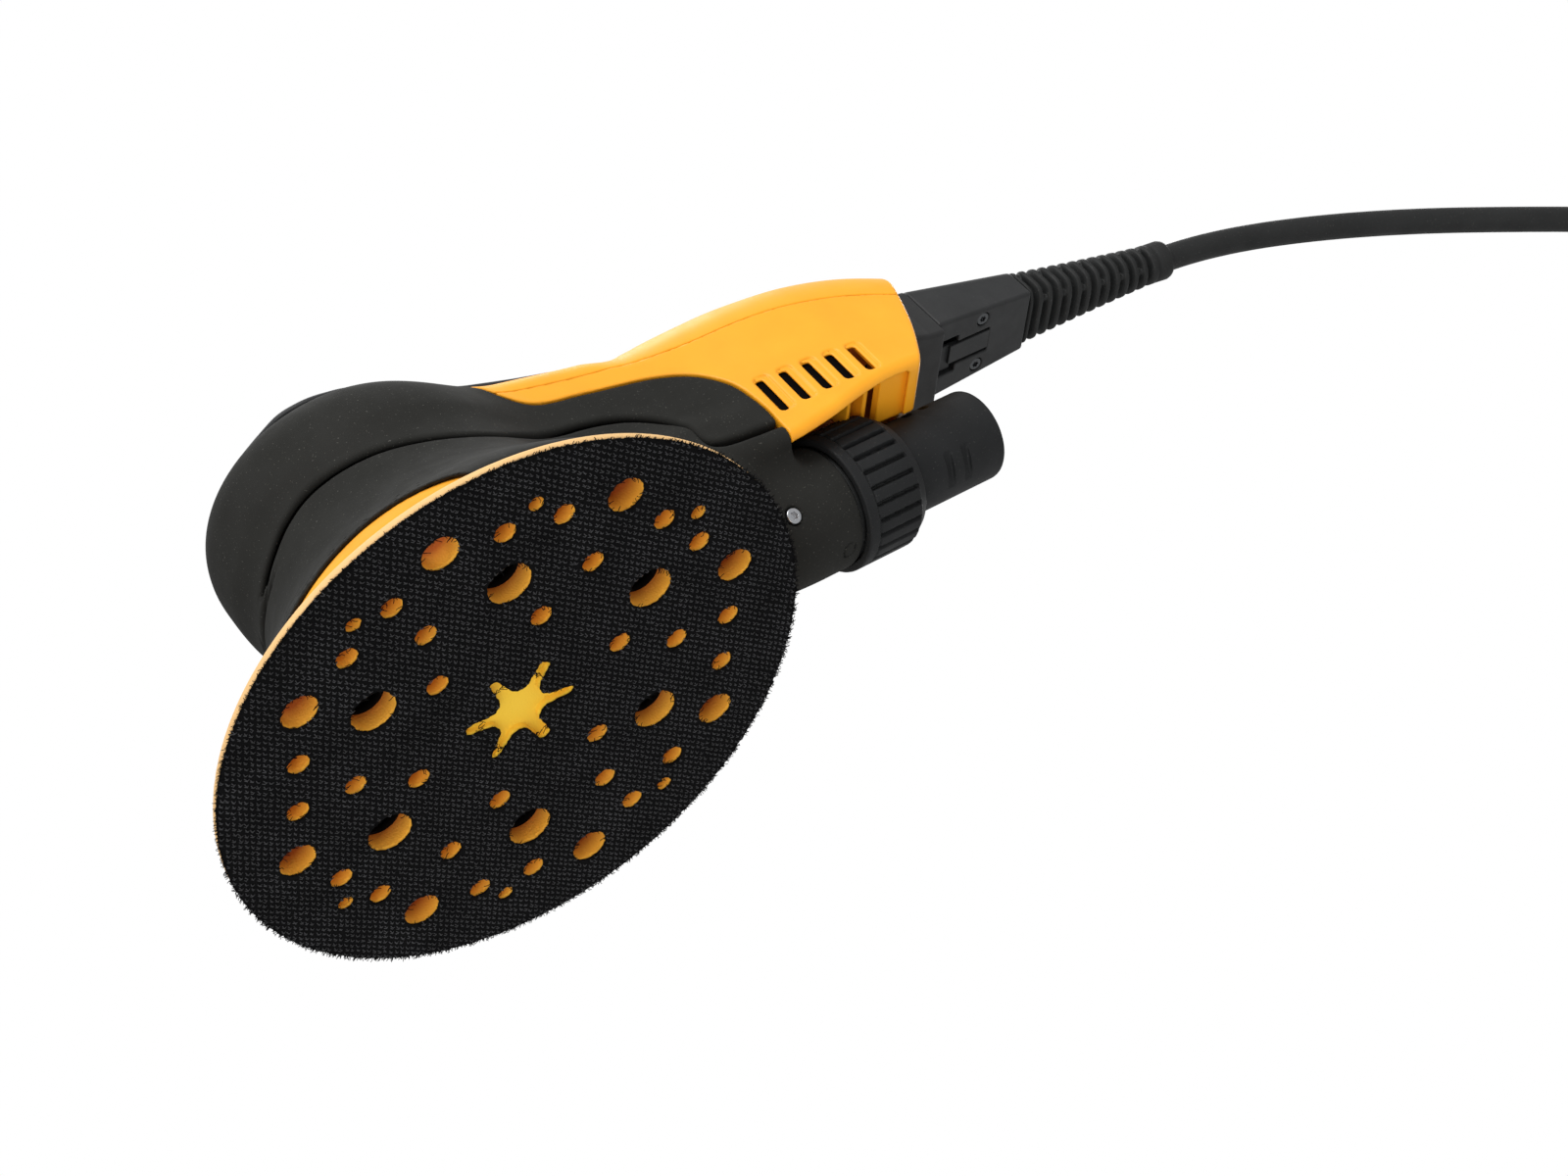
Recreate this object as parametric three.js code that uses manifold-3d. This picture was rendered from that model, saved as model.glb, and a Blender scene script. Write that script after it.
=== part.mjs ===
// Corded random-orbit sander: palm-held head over a 150 mm pad, handle behind it, dust port under the
// handle, and a detachable mains lead whose spare length lies coiled on the floor.
// Millimetres, +Z up. The tool stands on its pad face at z = 0 and its handle points along +X.
// Inside this file the motor axis is x = y = 0; the whole group is shifted at the end so that the origin
// is the middle of the tool's footprint.
import * as THREE from "three";
import { mergeVertices } from "three/addons/utils/BufferGeometryUtils.js";
import Module from "manifold-3d";

const wasm = await Module();
wasm.setup();

// ---------------------------------------------------------------- driving dimensions
const PAD_RADIUS = 75;
const ORBIT_OFFSET = 2.5; // pad axis to motor axis: half of the 5 mm orbit
const PAD_X = -ORBIT_OFFSET;
const HOLE_TURN = -65.8; // how far the pad's hole pattern is turned from +X, degrees
const HOOK_THICKNESS = 1;
const FOAM_TOP = 8.8;
const PLATE_TOP = 11.6;
const GAP = 0.3; // between pieces that touch
const WALL = 2.6; // casing wall
const SKIN = 1.1; // soft lower skirt over the inner ring

const HEAD_TOP = 90.3;
const HANDLE_END = 152;
const NECK_END = 88.6; // where the black neck gives way to the yellow casing
const PARTITION_TOP = 46.5; // floor between the dust throat and the electronics
const REAR_WALL = 3;

const PORT_TILT = 6.8; // the dust port rises towards the rear, degrees
const PORT_AXIS_Z = 16.4; // height of the port axis where it crosses the motor axis
const DUCT_RADIUS = 16.2;
const DUCT_END = 99.4; // along the port axis
const COLLAR_START = 100.4;
const COLLAR_LENGTH = 20.5;
const COLLAR_RADIUS = 17.9;
const HOSE_RADIUS = 12.2;
const HOSE_END = 151.5;

const LEVER_PIVOT = [-25, 84.6]; // x, z of the lever's hinge pin
const CORD_Z = 73.6; // height of the mains connector's axis
const CONNECTOR_START = 159;
const CONNECTOR_END = 193;
const RELIEF_END = 246;
const CORD_DIAMETER = 7.5;

const COIL_CENTRE = [462, 56.5];
const COIL_INNER_TURN = 31.5; // radius of the innermost turn
const COIL_LAYERS = 4;
const COIL_LAYER_TURNS = 3.5;
const COIL_CLIMB = 1 / 6; // part of a turn in which the cord climbs to the next layer
const COIL_LIFT = 1.3; // the tie runs under the coil

const FOOTPRINT_MIDDLE_X = (PAD_X - PAD_RADIUS + RELIEF_END) / 2;

// ---------------------------------------------------------------- colours
const finish = (color, roughness, metalness = 0) =>
  new THREE.MeshStandardMaterial({ color, roughness, metalness });
const YELLOW = finish(0xf9b52c, 0.45);
const ORANGE = finish(0xd98a2a, 0.6);
const GRIP = finish(0x34332f, 0.75);
const BLACK = finish(0x2b2b2a, 0.6);
const FOAM = finish(0xf0b050, 0.9);
const HOOK = finish(0x17171a, 1);
const RUBBER = finish(0x1d1d1d, 0.9);
const STEEL = finish(0xb9bcc0, 0.35, 1);
const ALUMINIUM = finish(0xa9adb2, 0.45, 1);
const COPPER = finish(0xb0683a, 0.4, 1);
const BOARD = finish(0x1f6b43, 0.6);
const LENS = finish(0x7fe08a, 0.2);
const BRASS = finish(0xc9a45a, 0.3, 1);

// ---------------------------------------------------------------- solids: join, cut and shared shapes
// Six times the volume inside a closed geometry; negative where its faces point inwards.
function signedVolume(position, index) {
  const [a, b, c] = [new THREE.Vector3(), new THREE.Vector3(), new THREE.Vector3()];
  let sum = 0;
  for (let i = 0; i < index.length; i += 3) {
    a.fromBufferAttribute(position, index[i]);
    b.fromBufferAttribute(position, index[i + 1]);
    c.fromBufferAttribute(position, index[i + 2]);
    sum += a.dot(b.cross(c));
  }
  return sum;
}

// A closed geometry as a solid with its faces pointing out.
function solid(geometry) {
  const bare = geometry.clone();
  bare.deleteAttribute("normal");
  bare.deleteAttribute("uv");
  const merged = mergeVertices(bare, 1e-4);
  const triVerts = new Uint32Array(merged.index.array);
  if (signedVolume(merged.attributes.position, triVerts) < 0) triVerts.reverse();
  const vertProperties = merged.attributes.position.array;
  return new wasm.Manifold(new wasm.Mesh({ numProp: 3, vertProperties, triVerts }));
}

function geometryOf(manifold) {
  const mesh = manifold.getMesh();
  const geometry = new THREE.BufferGeometry();
  geometry.setAttribute("position", new THREE.BufferAttribute(mesh.vertProperties, 3));
  geometry.setIndex(new THREE.BufferAttribute(mesh.triVerts, 1));
  geometry.computeVertexNormals();
  return geometry;
}

const join = (...list) => geometryOf(list.map(solid).reduce((a, b) => a.add(b)));
const cut = (base, ...tools) =>
  geometryOf(tools.map(solid).reduce((a, b) => a.subtract(b), solid(base)));
const common = (a, b) => geometryOf(solid(a).intersect(solid(b)));

const radians = THREE.MathUtils.degToRad;
const polar = (radius, degrees) =>
  new THREE.Vector2(radius * Math.cos(radians(degrees)), radius * Math.sin(radians(degrees)));

// Turns [radius, z] pairs about the Z axis. A closed profile makes a ring.
function turned(profile, segments = 48) {
  const points = profile.map(([r, z]) => new THREE.Vector2(r, z));
  return new THREE.LatheGeometry(points, segments).rotateX(Math.PI / 2);
}

// A ring of rectangular section.
function ring(inner, outer, bottom, top, segments = 32) {
  const profile = [[inner, bottom], [outer, bottom], [outer, top], [inner, top], [inner, bottom]];
  return turned(profile, segments);
}

function cylinder(radius, bottom, top, segments = 24) {
  return new THREE.CylinderGeometry(radius, radius, top - bottom, segments)
    .rotateX(Math.PI / 2)
    .translate(0, 0, (top + bottom) / 2);
}

function box([x0, x1], [y0, y1], [z0, z1]) {
  return new THREE.BoxGeometry(x1 - x0, y1 - y0, z1 - z0).translate(
    (x0 + x1) / 2,
    (y0 + y1) / 2,
    (z0 + z1) / 2,
  );
}

// A plan outline raised from one height to another.
function raised(shape, bottom, top, curveSegments = 8) {
  return new THREE.ExtrudeGeometry(shape, {
    depth: top - bottom,
    bevelEnabled: false,
    curveSegments,
  }).translate(0, 0, bottom);
}

// A side outline of [x, z] points, as thick as the span from y = -half to y = half.
function sideCut(points, half = 90) {
  const shape = new THREE.Shape(points.map(([x, z]) => new THREE.Vector2(x, z)));
  return new THREE.ExtrudeGeometry(shape, { depth: 2 * half, bevelEnabled: false })
    .rotateX(Math.PI / 2)
    .translate(0, half, 0);
}

function roundedRectangle(width, height, radius) {
  const [w, h] = [width / 2, height / 2];
  const shape = new THREE.Shape();
  shape.moveTo(-w + radius, -h);
  shape.lineTo(w - radius, -h);
  shape.absarc(w - radius, -h + radius, radius, -Math.PI / 2, 0);
  shape.lineTo(w, h - radius);
  shape.absarc(w - radius, h - radius, radius, 0, Math.PI / 2);
  shape.lineTo(-w + radius, h);
  shape.absarc(-w + radius, h - radius, radius, Math.PI / 2, Math.PI);
  shape.lineTo(-w, -h + radius);
  shape.absarc(-w + radius, -h + radius, radius, Math.PI, 1.5 * Math.PI);
  return shape;
}

// Smooth interpolation through [x, value] pairs.
function along(table, x) {
  const last = table.length - 1;
  if (x <= table[0][0]) return table[0][1];
  if (x >= table[last][0]) return table[last][1];
  const i = table.findIndex((pair) => pair[0] > x) - 1;
  const slope = (k) => {
    const [a, b] = [table[Math.max(k - 1, 0)], table[Math.min(k + 1, last)]];
    return (b[1] - a[1]) / (b[0] - a[0]);
  };
  const [[x0, v0], [x1, v1]] = [table[i], table[i + 1]];
  const [h, t] = [x1 - x0, (x - x0) / (x1 - x0)];
  const [t2, t3] = [t * t, t * t * t];
  return (
    (2 * t3 - 3 * t2 + 1) * v0 +
    (t3 - 2 * t2 + t) * h * slope(i) +
    (3 * t2 - 2 * t3) * v1 +
    (t3 - t2) * h * slope(i + 1)
  );
}

// Skins a list of closed rings of points and closes both ends.
function loft(rings) {
  const count = rings[0].length;
  const points = rings.flat();
  const middle = (r) => r.reduce((sum, p) => sum.add(p), new THREE.Vector3()).divideScalar(count);
  const first = points.push(middle(rings[0])) - 1;
  const final = points.push(middle(rings[rings.length - 1])) - 1;
  const faces = [];
  const end = (rings.length - 1) * count;
  for (let j = 0; j < count; j++) {
    const next = (j + 1) % count;
    for (let i = 0; i < end; i += count) {
      faces.push(i + j, i + count + j, i + count + next, i + j, i + count + next, i + next);
    }
    faces.push(first, j, next);
    faces.push(final, end + next, end + j);
  }
  const geometry = new THREE.BufferGeometry().setFromPoints(points);
  geometry.setIndex(faces);
  return geometry;
}

// One ring of an X loft: a rounded box seen along X, counter-clockwise from its lower right corner.
function sectionRing(x, half, bottom, top, topCorner, bottomCorner, steps = 4) {
  const corners = [
    [half - bottomCorner, bottom + bottomCorner, bottomCorner, -90],
    [half - topCorner, top - topCorner, topCorner, 0],
    [topCorner - half, top - topCorner, topCorner, 90],
    [bottomCorner - half, bottom + bottomCorner, bottomCorner, 180],
  ];
  return corners.flatMap(([y, z, radius, from]) =>
    Array.from({ length: steps + 1 }, (_, k) => {
      const p = polar(radius, from + (90 * k) / steps);
      return new THREE.Vector3(x, y + p.x, z + p.y);
    }),
  );
}

// ---------------------------------------------------------------- casing surfaces
// Head and skirt as level circles that lean forward towards the crown: [z, radius, centre x].
const HEAD_CIRCLES = [
  [10, 66.4, 0], [14, 65.2, 0], [20, 60.8, 0], [29, 53.2, 0], [38, 47, 0], [48, 42.4, -0.4],
  [58, 40.6, -1], [66, 41, -1.8], [73, 40.2, -3], [79, 38.4, -4.6], [84, 35, -6],
  [87.4, 29.6, -6.6], [89.3, 23, -7],
];
// Neck and handle along X: half width, top, bottom edge and top corner radius.
const HANDLE_HALF = [
  [0, 30], [25, 27.5], [45, 25], [60, 24], [80, 25], [100, 27.5], [120, 28.6], [152, 27.2],
];
const HANDLE_TOP = [
  [0, 83.5], [30, 84.2], [58, 84.2], [67, 84.6], [74, 88.4], [82, 90.6], [94, 91.5], [106, 91.5],
  [123, 90.4], [137, 87.4], [152, 81],
];
const HANDLE_BOTTOM = [
  [0, 34], [60, 32], [88, 29.6], [100, 31.2], [113, 34.8], [122, 36.9], [134, 38.4], [152, 42],
];
const HANDLE_CORNER = [[0, 15], [30, 9], [58, 8.5], [66, 12], [76, 18.4], [100, 20], [152, 19]];
const HANDLE_STATIONS = [22, 40, 52, 61, 67, 73, 80, 90, 102, 114, 124, 134, 143];
// Split line between grip and skirt, seen from the side: [x, z].
const GROOVE_LINE = [
  [-90, 51], [-42.5, 51.5], [-40.5, 53.6], [-37, 55.4], [-32, 57.2], [-25, 57.6], [-12, 55.4],
  [0, 52], [10, 49.6], [18, 49.6], [28, 53.2], [38, 56.2], [48, 57], [57, 55.4], [64, 51],
  [68, 45.5], [70.4, 36], [88.6, 35.2],
];
// Split line between the black grip and the yellow handle, from the lower rear to the top front.
const COLOUR_LINE = [
  [89.4, 26], [88.4, 35.7], [88.5, 42], [87.3, 51], [84.6, 57], [79.5, 62.4], [72, 66], [63, 67.8],
  [52, 68.6], [43, 68.4], [37.6, 69.4], [33.4, 72.4], [30, 77], [27, 83], [25, 100],
];
// Split line between the handle's lower casing and its top cover.
const COVER_LINE = [
  [20, 75], [58, 74.8], [70, 73.8], [86, 73], [104, 72.8], [116, 71.6], [130, 68.8], [142, 64.6], [160, 57],
];
// Rear edge of the yellow casing.
const REAR_LINE = [[130, 34], [133.5, 40], [139.4, 52], [144.2, 66], [146.6, 76], [147, 92]];

const offsetLine = (line, dx, dz) => line.map(([x, z]) => [x + dx, z + dz]);

// The head's surface moved inwards by the given wall.
function headSolid(inset, segments = 36) {
  const rings = HEAD_CIRCLES.map(([z, radius, middle], i) => {
    const height = i === 0 ? z - Math.sign(inset) : z - (z > 80 ? inset / 2 : 0);
    return Array.from({ length: segments }, (_, k) => {
      const p = polar(radius - inset, (k * 360) / segments);
      return new THREE.Vector3(p.x + middle, p.y, height);
    });
  });
  const crown = HEAD_CIRCLES[HEAD_CIRCLES.length - 1];
  rings.push(rings[rings.length - 1].map((p) =>
    new THREE.Vector3((p.x - crown[2]) * 0.4 + crown[2], p.y * 0.4, HEAD_TOP - inset)));
  return loft(rings);
}

// The handle's body between two stations; bottomAt gives the height of its lower edge.
function handleLoft(from, to, inset, bottomAt) {
  const inside = HANDLE_STATIONS.filter((x) => x > from && x < to);
  const rings = [from, ...inside, to].map((x) => {
    const half = along(HANDLE_HALF, x) - inset;
    const top = along(HANDLE_TOP, x) - inset;
    return sectionRing(x, half, bottomAt(x), top, along(HANDLE_CORNER, x) - inset, inset ? 1 : 3);
  });
  return loft(rings);
}

// Carries a geometry made along +X from the motor axis onto the tilted port axis.
function onPort(geometry) {
  return geometry.rotateY(-radians(PORT_TILT)).translate(0, 0, PORT_AXIS_Z);
}

// The same for a geometry turned about Z: its Z axis becomes the port axis.
const turnedOnPort = (geometry) => onPort(geometry.rotateY(Math.PI / 2));

// Dust duct, wide and flat under the neck and round at the port: [station, half width, rise, drop].
const DUCT_STATIONS = [
  [40, 26, 20, 8], [58, 24.6, 19.4, 9.5], [70, 20.4, 18.4, 12], [79, 17, 16.8, 15], [88, 16.3, 16.3, 16.2],
  [DUCT_END, DUCT_RADIUS, DUCT_RADIUS, DUCT_RADIUS],
];
const DUCT_SIDES = 20;

function ductSolid(inset) {
  const rings = DUCT_STATIONS.map(([x, half, rise, drop]) =>
    Array.from({ length: DUCT_SIDES }, (_, k) => {
      const p = polar(1, (k * 360) / DUCT_SIDES);
      return new THREE.Vector3(x, (half - inset) * p.x, ((p.y > 0 ? rise : drop) - inset) * p.y);
    }),
  );
  if (inset) {
    rings.unshift(rings[0].map((p) => p.clone().setX(20)));
    rings.push(rings[rings.length - 1].map((p) => p.clone().setX(DUCT_END + 5)));
  }
  return onPort(loft(rings));
}

// Neck skirt, joining the neck's sides to the duct below: [x, half width, bottom].
const THROAT_STATIONS = [
  [20, 30, 16], [45, 25.4, 16], [60, 24.2, 18], [70, 24, 22], [80, 23.6, 27], [88.2, 22.4, 29.6],
];
const THROAT_TOP = 46;

function throatSolid(inset) {
  return loft(THROAT_STATIONS.map(([x, half, bottom]) =>
    sectionRing(x, half - inset, bottom + inset, THROAT_TOP, 4, 8)));
}

const lowerEdge = (x) => along(HANDLE_BOTTOM, x);
const handleOuter = handleLoft(2, HANDLE_END, 0, lowerEdge);
const outerCasing = join(headSolid(0), handleOuter, ductSolid(0), throatSolid(0));
const headCavity = headSolid(WALL, 24);
const ductCavity = ductSolid(WALL);
const throatCavity = throatSolid(WALL);
const neckCavity = handleLoft(2, NECK_END, WALL, () => PARTITION_TOP);
const frontOfRearWall = sideCut([...offsetLine(REAR_LINE, -REAR_WALL, 0), [60, 92], [60, 0], [126, 0]]);
const rearCavity = common(handleLoft(NECK_END, HANDLE_END, WALL, () => 10), frontOfRearWall);

// ---------------------------------------------------------------- casing pieces
const blackShell = cut(outerCasing, headCavity, neckCavity, ductCavity, throatCavity);
const pivotHole = (radius, half) =>
  cylinder(radius, -half, half, 12).rotateX(Math.PI / 2).translate(LEVER_PIVOT[0], 0, LEVER_PIVOT[1]);

function frontGrip() {
  const region = sideCut([
    ...offsetLine(GROOVE_LINE, 0, GAP / 2),
    ...offsetLine(COLOUR_LINE.slice(1), -GAP / 2, -GAP / 2),
    [-90, 100],
  ]);
  const leverPocket = box([-30.5, -19.5], [-12, 12], [79, 100]);
  return cut(common(blackShell, region), leverPocket, pivotHole(1.8, 16));
}

// A ring that follows the skirt, its faces set in from the skirt's surface by the two given depths.
function skirtBand(outerDepth, innerDepth, levels) {
  const face = (depth) => levels.map((z) => [along(HEAD_CIRCLES, z) - depth, z]);
  const outline = [...face(outerDepth), ...face(innerDepth).reverse()];
  return turned([...outline, outline[0]], 36);
}

const SCALLOP = { radius: 36, centreZ: -11.5, angle: 124 };

function dustShroud() {
  const below = [[88.6, 29], [110, 29], [110, 0], [-90, 0]];
  const region = sideCut([...offsetLine(GROOVE_LINE, 0, -GAP / 2), ...below]);
  const ductWall = cut(ductSolid(0), ductCavity, box([0, NECK_END], [-50, 50], [0, 80]));
  const scallops = [-SCALLOP.angle, SCALLOP.angle].map((angle) =>
    cylinder(SCALLOP.radius, 45, 80, 36)
      .rotateY(Math.PI / 2)
      .translate(0, 0, SCALLOP.centreZ)
      .rotateZ(radians(angle)),
  );
  const chassisSeat = skirtBand(SKIN, 9, [5, 10, 14, 20, 29]);
  const casing = join(common(blackShell, region), ductWall);
  return cut(casing, ...scallops, chassisSeat, ...portScrewSeats());
}

const PORT_SCREW_STATION = 81;
const PORT_SCREW_ANGLE = -36;

function toPortSide(geometry, side) {
  const turn = side * (radians(PORT_SCREW_ANGLE) - Math.PI / 2);
  return onPort(geometry.rotateX(turn).translate(PORT_SCREW_STATION, 0, 0));
}

// Blind seats for the two screws that hold the port, one on each side of the duct.
const portScrewSeats = () => [-1, 1].map((side) => toPortSide(cylinder(2.4, 14.8, 40, 16), side));
const portScrew = (side) =>
  toPortSide(cut(cylinder(2, 15.1, 16.3, 16), cylinder(0.9, 15.9, 20, 6)), side);

const VENT_FIRST_X = 92.4;
const VENT_PITCH = 6.65;
const VENT_COUNT = 5;
const VENT_WIDTH = 2.2;
const VENT_SPAN = [38.4, 51.4]; // the first vent's lower and upper end
const VENT_RISE = 0.45; // each vent starts higher than the one before
const VENT_DROP = 0.2; // and ends lower

function yellowShell() {
  const behindColourLine = sideCut([...offsetLine(COLOUR_LINE, GAP / 2, GAP / 2), [160, 100], [160, 20]]);
  const inFrontOfRear = sideCut([...REAR_LINE, [10, 92], [10, 10], [124, 10]]);
  const skin = cut(join(handleOuter, headSolid(0)), headCavity, neckCavity, rearCavity);
  return common(common(skin, behindColourLine), inFrontOfRear);
}

const REAR_FLOOR = [39.6, 42]; // closes the housing over the hose
const SOCKET_HALF = 14;
const SOCKET_BOTTOM = 62.6;
const SOCKET_TOP = 82;
const socketOpening = () => box([120, 170], [-SOCKET_HALF, SOCKET_HALF], [SOCKET_BOTTOM, SOCKET_TOP]);

function handleHousing(shell) {
  const below = sideCut([...offsetLine(COVER_LINE, 0, -GAP / 2), [160, 0], [20, 0]]);
  const floorLoft = handleLoft(NECK_END, HANDLE_END, WALL - 0.3, () => 10);
  const floor = common(common(floorLoft, frontOfRearWall), box([121.5, 150], [-40, 40], REAR_FLOOR));
  const longFloor = join(common(shell, below), floor);
  const vents = Array.from({ length: VENT_COUNT }, (_, i) => {
    const x = VENT_FIRST_X + i * VENT_PITCH;
    const span = [VENT_SPAN[0] + VENT_RISE * i, VENT_SPAN[1] - VENT_DROP * i];
    return box([x - VENT_WIDTH / 2, x + VENT_WIDTH / 2], [-40, 40], span);
  });
  const hosePassage = join(
    cylinder(14, 120, 160, 24).rotateY(Math.PI / 2),
    box([120, 160], [-14, 14], [-30, 0]),
  );
  return cut(longFloor, socketOpening(), onPort(hosePassage), ...vents);
}

const KEYPAD_X = 97;
const KEYPAD_SIZE = [35, 15]; // along and across the handle
const KEYPAD_FLOOR = 89.8;

function topCover(shell) {
  const above = sideCut([...offsetLine(COVER_LINE, 0, GAP / 2), [160, 110], [20, 110]]);
  const [long, wide] = KEYPAD_SIZE.map((size) => size + 2 * GAP);
  const pocket = raised(roundedRectangle(long, wide, 5), KEYPAD_FLOOR, 100, 4);
  return cut(common(shell, above), socketOpening(), pocket.translate(KEYPAD_X, 0, 0));
}

function intakeGrille() {
  const plate = common(
    handleLoft(NECK_END, HANDLE_END, WALL + GAP, () => 10),
    box([92, 130.6], [-40, 40], [52, 53.6]),
  );
  const slots = [];
  for (let x = 97; x < 128; x += 5) {
    for (const middle of [-12, 12]) slots.push(box([x - 1, x + 1], [middle - 7, middle + 7], [50, 56]));
  }
  return cut(plate, ...slots);
}

// Yellow inner ring that lies against the thin lower skirt and shows through its scallops; open at the
// back for the dust.
function innerChassis() {
  const outer = SKIN + GAP + 0.05;
  const band = skirtBand(outer, outer + 2.5, [10.6, 14, 20, 28.6]);
  return cut(band, onPort(box([20, 80], [-24, 24], [-16, 14])));
}

// Rubber lip inside the skirt that drags on the pad and keeps it from spinning up.
const SEAL_OUTLINE = [[53.6, 20], [54.6, 16], [51, 12.2], [48, 12.2], [51.6, 16], [51.4, 20], [53.6, 20]];
const brakeSeal = () => turned(SEAL_OUTLINE, 32);

// ---------------------------------------------------------------- pad
const RIM_ANGLES = [0, 45, 90, 135, 180, 225, 270, 315];
const HOLE_RINGS = [
  { radius: 60, size: 4.5, angles: RIM_ANGLES, sides: 10 },
  { radius: 40.7, size: 5.5, angles: [30, 90, 150, 210, 270, 330], sides: 10 },
  { radius: 27.6, size: 2.7, angles: [45, 105, 165, 225, 285, 345], sides: 6 },
  { radius: 41.8, size: 2.7, angles: [0, 60, 120, 180, 240, 300], sides: 6 },
  { radius: 56, size: 2.7, angles: RIM_ANGLES.flatMap((a) => [a + 15, a + 30]), sides: 6 },
  { radius: 61, size: 1.9, angles: [22.5, 112.5, 157.5, 202.5, 292.5, 337.5], sides: 6 },
];
const STAR_CORE = 7.4;
const STAR_TIP = 14;

function padHoles(bottom, top, rings = HOLE_RINGS) {
  return rings.flatMap(({ radius, size, angles, sides }) =>
    angles.map((angle) => {
      const p = polar(radius, angle + HOLE_TURN);
      return cylinder(size, bottom, top, sides).translate(p.x, p.y, 0);
    }),
  );
}

// Six-armed opening in the middle of the pad face, arms broad and narrow by turns.
function starShape() {
  const points = [];
  for (let arm = 0; arm < 6; arm++) {
    const angle = arm * 60 + 3 + HOLE_TURN;
    const spread = arm % 2 ? 5 : 8;
    points.push(polar(STAR_CORE, angle - 20), polar(STAR_TIP, angle - spread));
    points.push(polar(STAR_TIP, angle + spread), polar(STAR_CORE, angle + 20));
  }
  return new THREE.Shape(points);
}

const starCut = (top) => raised(starShape(), -1, top, 1);
const STUD_HEAD = 12;

const hookFace = () =>
  cut(cylinder(PAD_RADIUS, 0, HOOK_THICKNESS, 56), ...padHoles(-1, 2), starCut(2));

function padFoam() {
  const bottom = HOOK_THICKNESS + GAP;
  const side = [[PAD_RADIUS, bottom], [PAD_RADIUS - 0.3, 3], [67.5, FOAM_TOP]];
  const body = turned([[0, bottom], ...side, [0, FOAM_TOP]], 56);
  const studPocket = cylinder(STUD_HEAD + GAP, 6.9, 12, 24);
  return cut(body, ...padHoles(-1, 12, HOLE_RINGS.slice(0, 2)), starCut(5), studPocket);
}

const padPlate = () =>
  cut(
    cylinder(58, FOAM_TOP + GAP, PLATE_TOP, 48),
    ...padHoles(5, 14, [HOLE_RINGS[1]]),
    cylinder(4.3, 5, 14, 16),
  );
const padStud = () => join(cylinder(STUD_HEAD, 7.2, FOAM_TOP, 24), cylinder(4, 8, 23, 16));
const padSpindle = () =>
  cut(join(cylinder(15, PLATE_TOP + GAP, 15, 32), cylinder(6, 14, 30.5, 24)), cylinder(4.3, 5, 24, 16));

// ---------------------------------------------------------------- motor
const SHAFT = 5;
const BEARING_HOLE = 11.3;

function eccentricHousing() {
  const cup = cut(cylinder(15, 16.4, 31.5, 32), cylinder(BEARING_HOLE, 10, 30.8, 32)).translate(PAD_X, 0, 0);
  return cut(join(cup, cylinder(9, 31, 38, 24)), cylinder(SHAFT + GAP, 31, 50, 20));
}

// Half-round weight opposite the eccentric.
function counterweight() {
  const shape = new THREE.Shape();
  shape.absarc(0, 0, 29, radians(-72), radians(72));
  shape.absarc(0, 0, 18.2, radians(72), radians(-72), true);
  return raised(shape, 20, 29, 12);
}

function coolingFan() {
  const blades = Array.from({ length: 9 }, (_, i) =>
    box([9, 30], [-0.8, 0.8], [39.6, 44.2]).rotateZ(radians(i * 40)),
  );
  const hub = ring(6, 10, 39, 44.2, 16);
  return cut(join(ring(6, 30.5, 38.5, 40, 24), hub, ...blades), cylinder(SHAFT + GAP, 30, 60, 20));
}

function motorBracket() {
  const windows = Array.from({ length: 6 }, (_, i) => {
    const [from, middle, to] = [8, 30, 52].map((angle) => angle + i * 60);
    const outer = [polar(33, from), polar(33, middle), polar(33, to)];
    const inner = [polar(16, to), polar(15, middle), polar(16, from)];
    return raised(new THREE.Shape([...outer, ...inner]), 45, 50);
  });
  return cut(ring(BEARING_HOLE + 0.2, 36.8, 45.4, 49.4, 32), ...windows);
}

const STACK_BOTTOM = 55;
const STACK_TOP = 70;

function statorCore() {
  const slots = 9;
  const shape = new THREE.Shape().absarc(0, 0, 33, 0, 2 * Math.PI);
  const bore = [];
  for (let i = 0; i < slots; i++) {
    const middle = (i * 360) / slots;
    for (const [radius, turn] of [[18.2, -15], [18.2, 15], [20, 15], [20, 6], [29, 6], [29, 34], [20, 34]]) {
      bore.push(polar(radius, middle + turn));
    }
  }
  shape.holes.push(new THREE.Path(bore));
  return raised(shape, STACK_BOTTOM, STACK_TOP, 14);
}

const CAN_PROFILE = [
  [33.5, 50.4], [35, 50.4], [35, 70], [34, 72.6], [29.4, 79.2], [14, 80.4], [14, 85.4], [6.4, 85.4],
  [6.4, 84.6], [11.4, 84.6], [11.4, 79.2], [28.8, 78], [33.5, 71.4], [33.5, 50.4],
];

// ---------------------------------------------------------------- lever and keypad
const LEVER_PLAN = [
  [-33, 9], [-30, 15.5], [-25, 20.6], [-18, 26.4], [-10, 28.4], [0, 28], [15, 23.6], [30, 18.4],
  [46, 16], [58, 14.6], [64, 13.2], [66.5, 10.5],
];
const LEVER_EDGE = [
  [-33, 91.6], [-26, 92], [-16, 92.6], [0, 92.8], [15, 92.5], [30, 91.6], [46, 90.7], [66.5, 90],
];
const LEVER_CROWN = [[-33, 0.4], [-16, 2], [0, 2.4], [30, 2.2], [66.5, 1.2]];
const LEVER_THICKNESS = 2;

function leverPlate() {
  const across = 8;
  const rings = LEVER_PLAN.map(([x, half]) => {
    const edge = along(LEVER_EDGE, x);
    const crown = along(LEVER_CROWN, x);
    const row = Array.from({ length: across + 1 }, (_, k) => {
      const s = (2 * k) / across - 1;
      return new THREE.Vector3(x, s * half, edge + crown * (1 - s * s));
    });
    const under = row.map((p) => p.clone().setZ(p.z - LEVER_THICKNESS));
    return [...under, ...row.reverse()];
  });
  return loft(rings);
}

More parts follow.
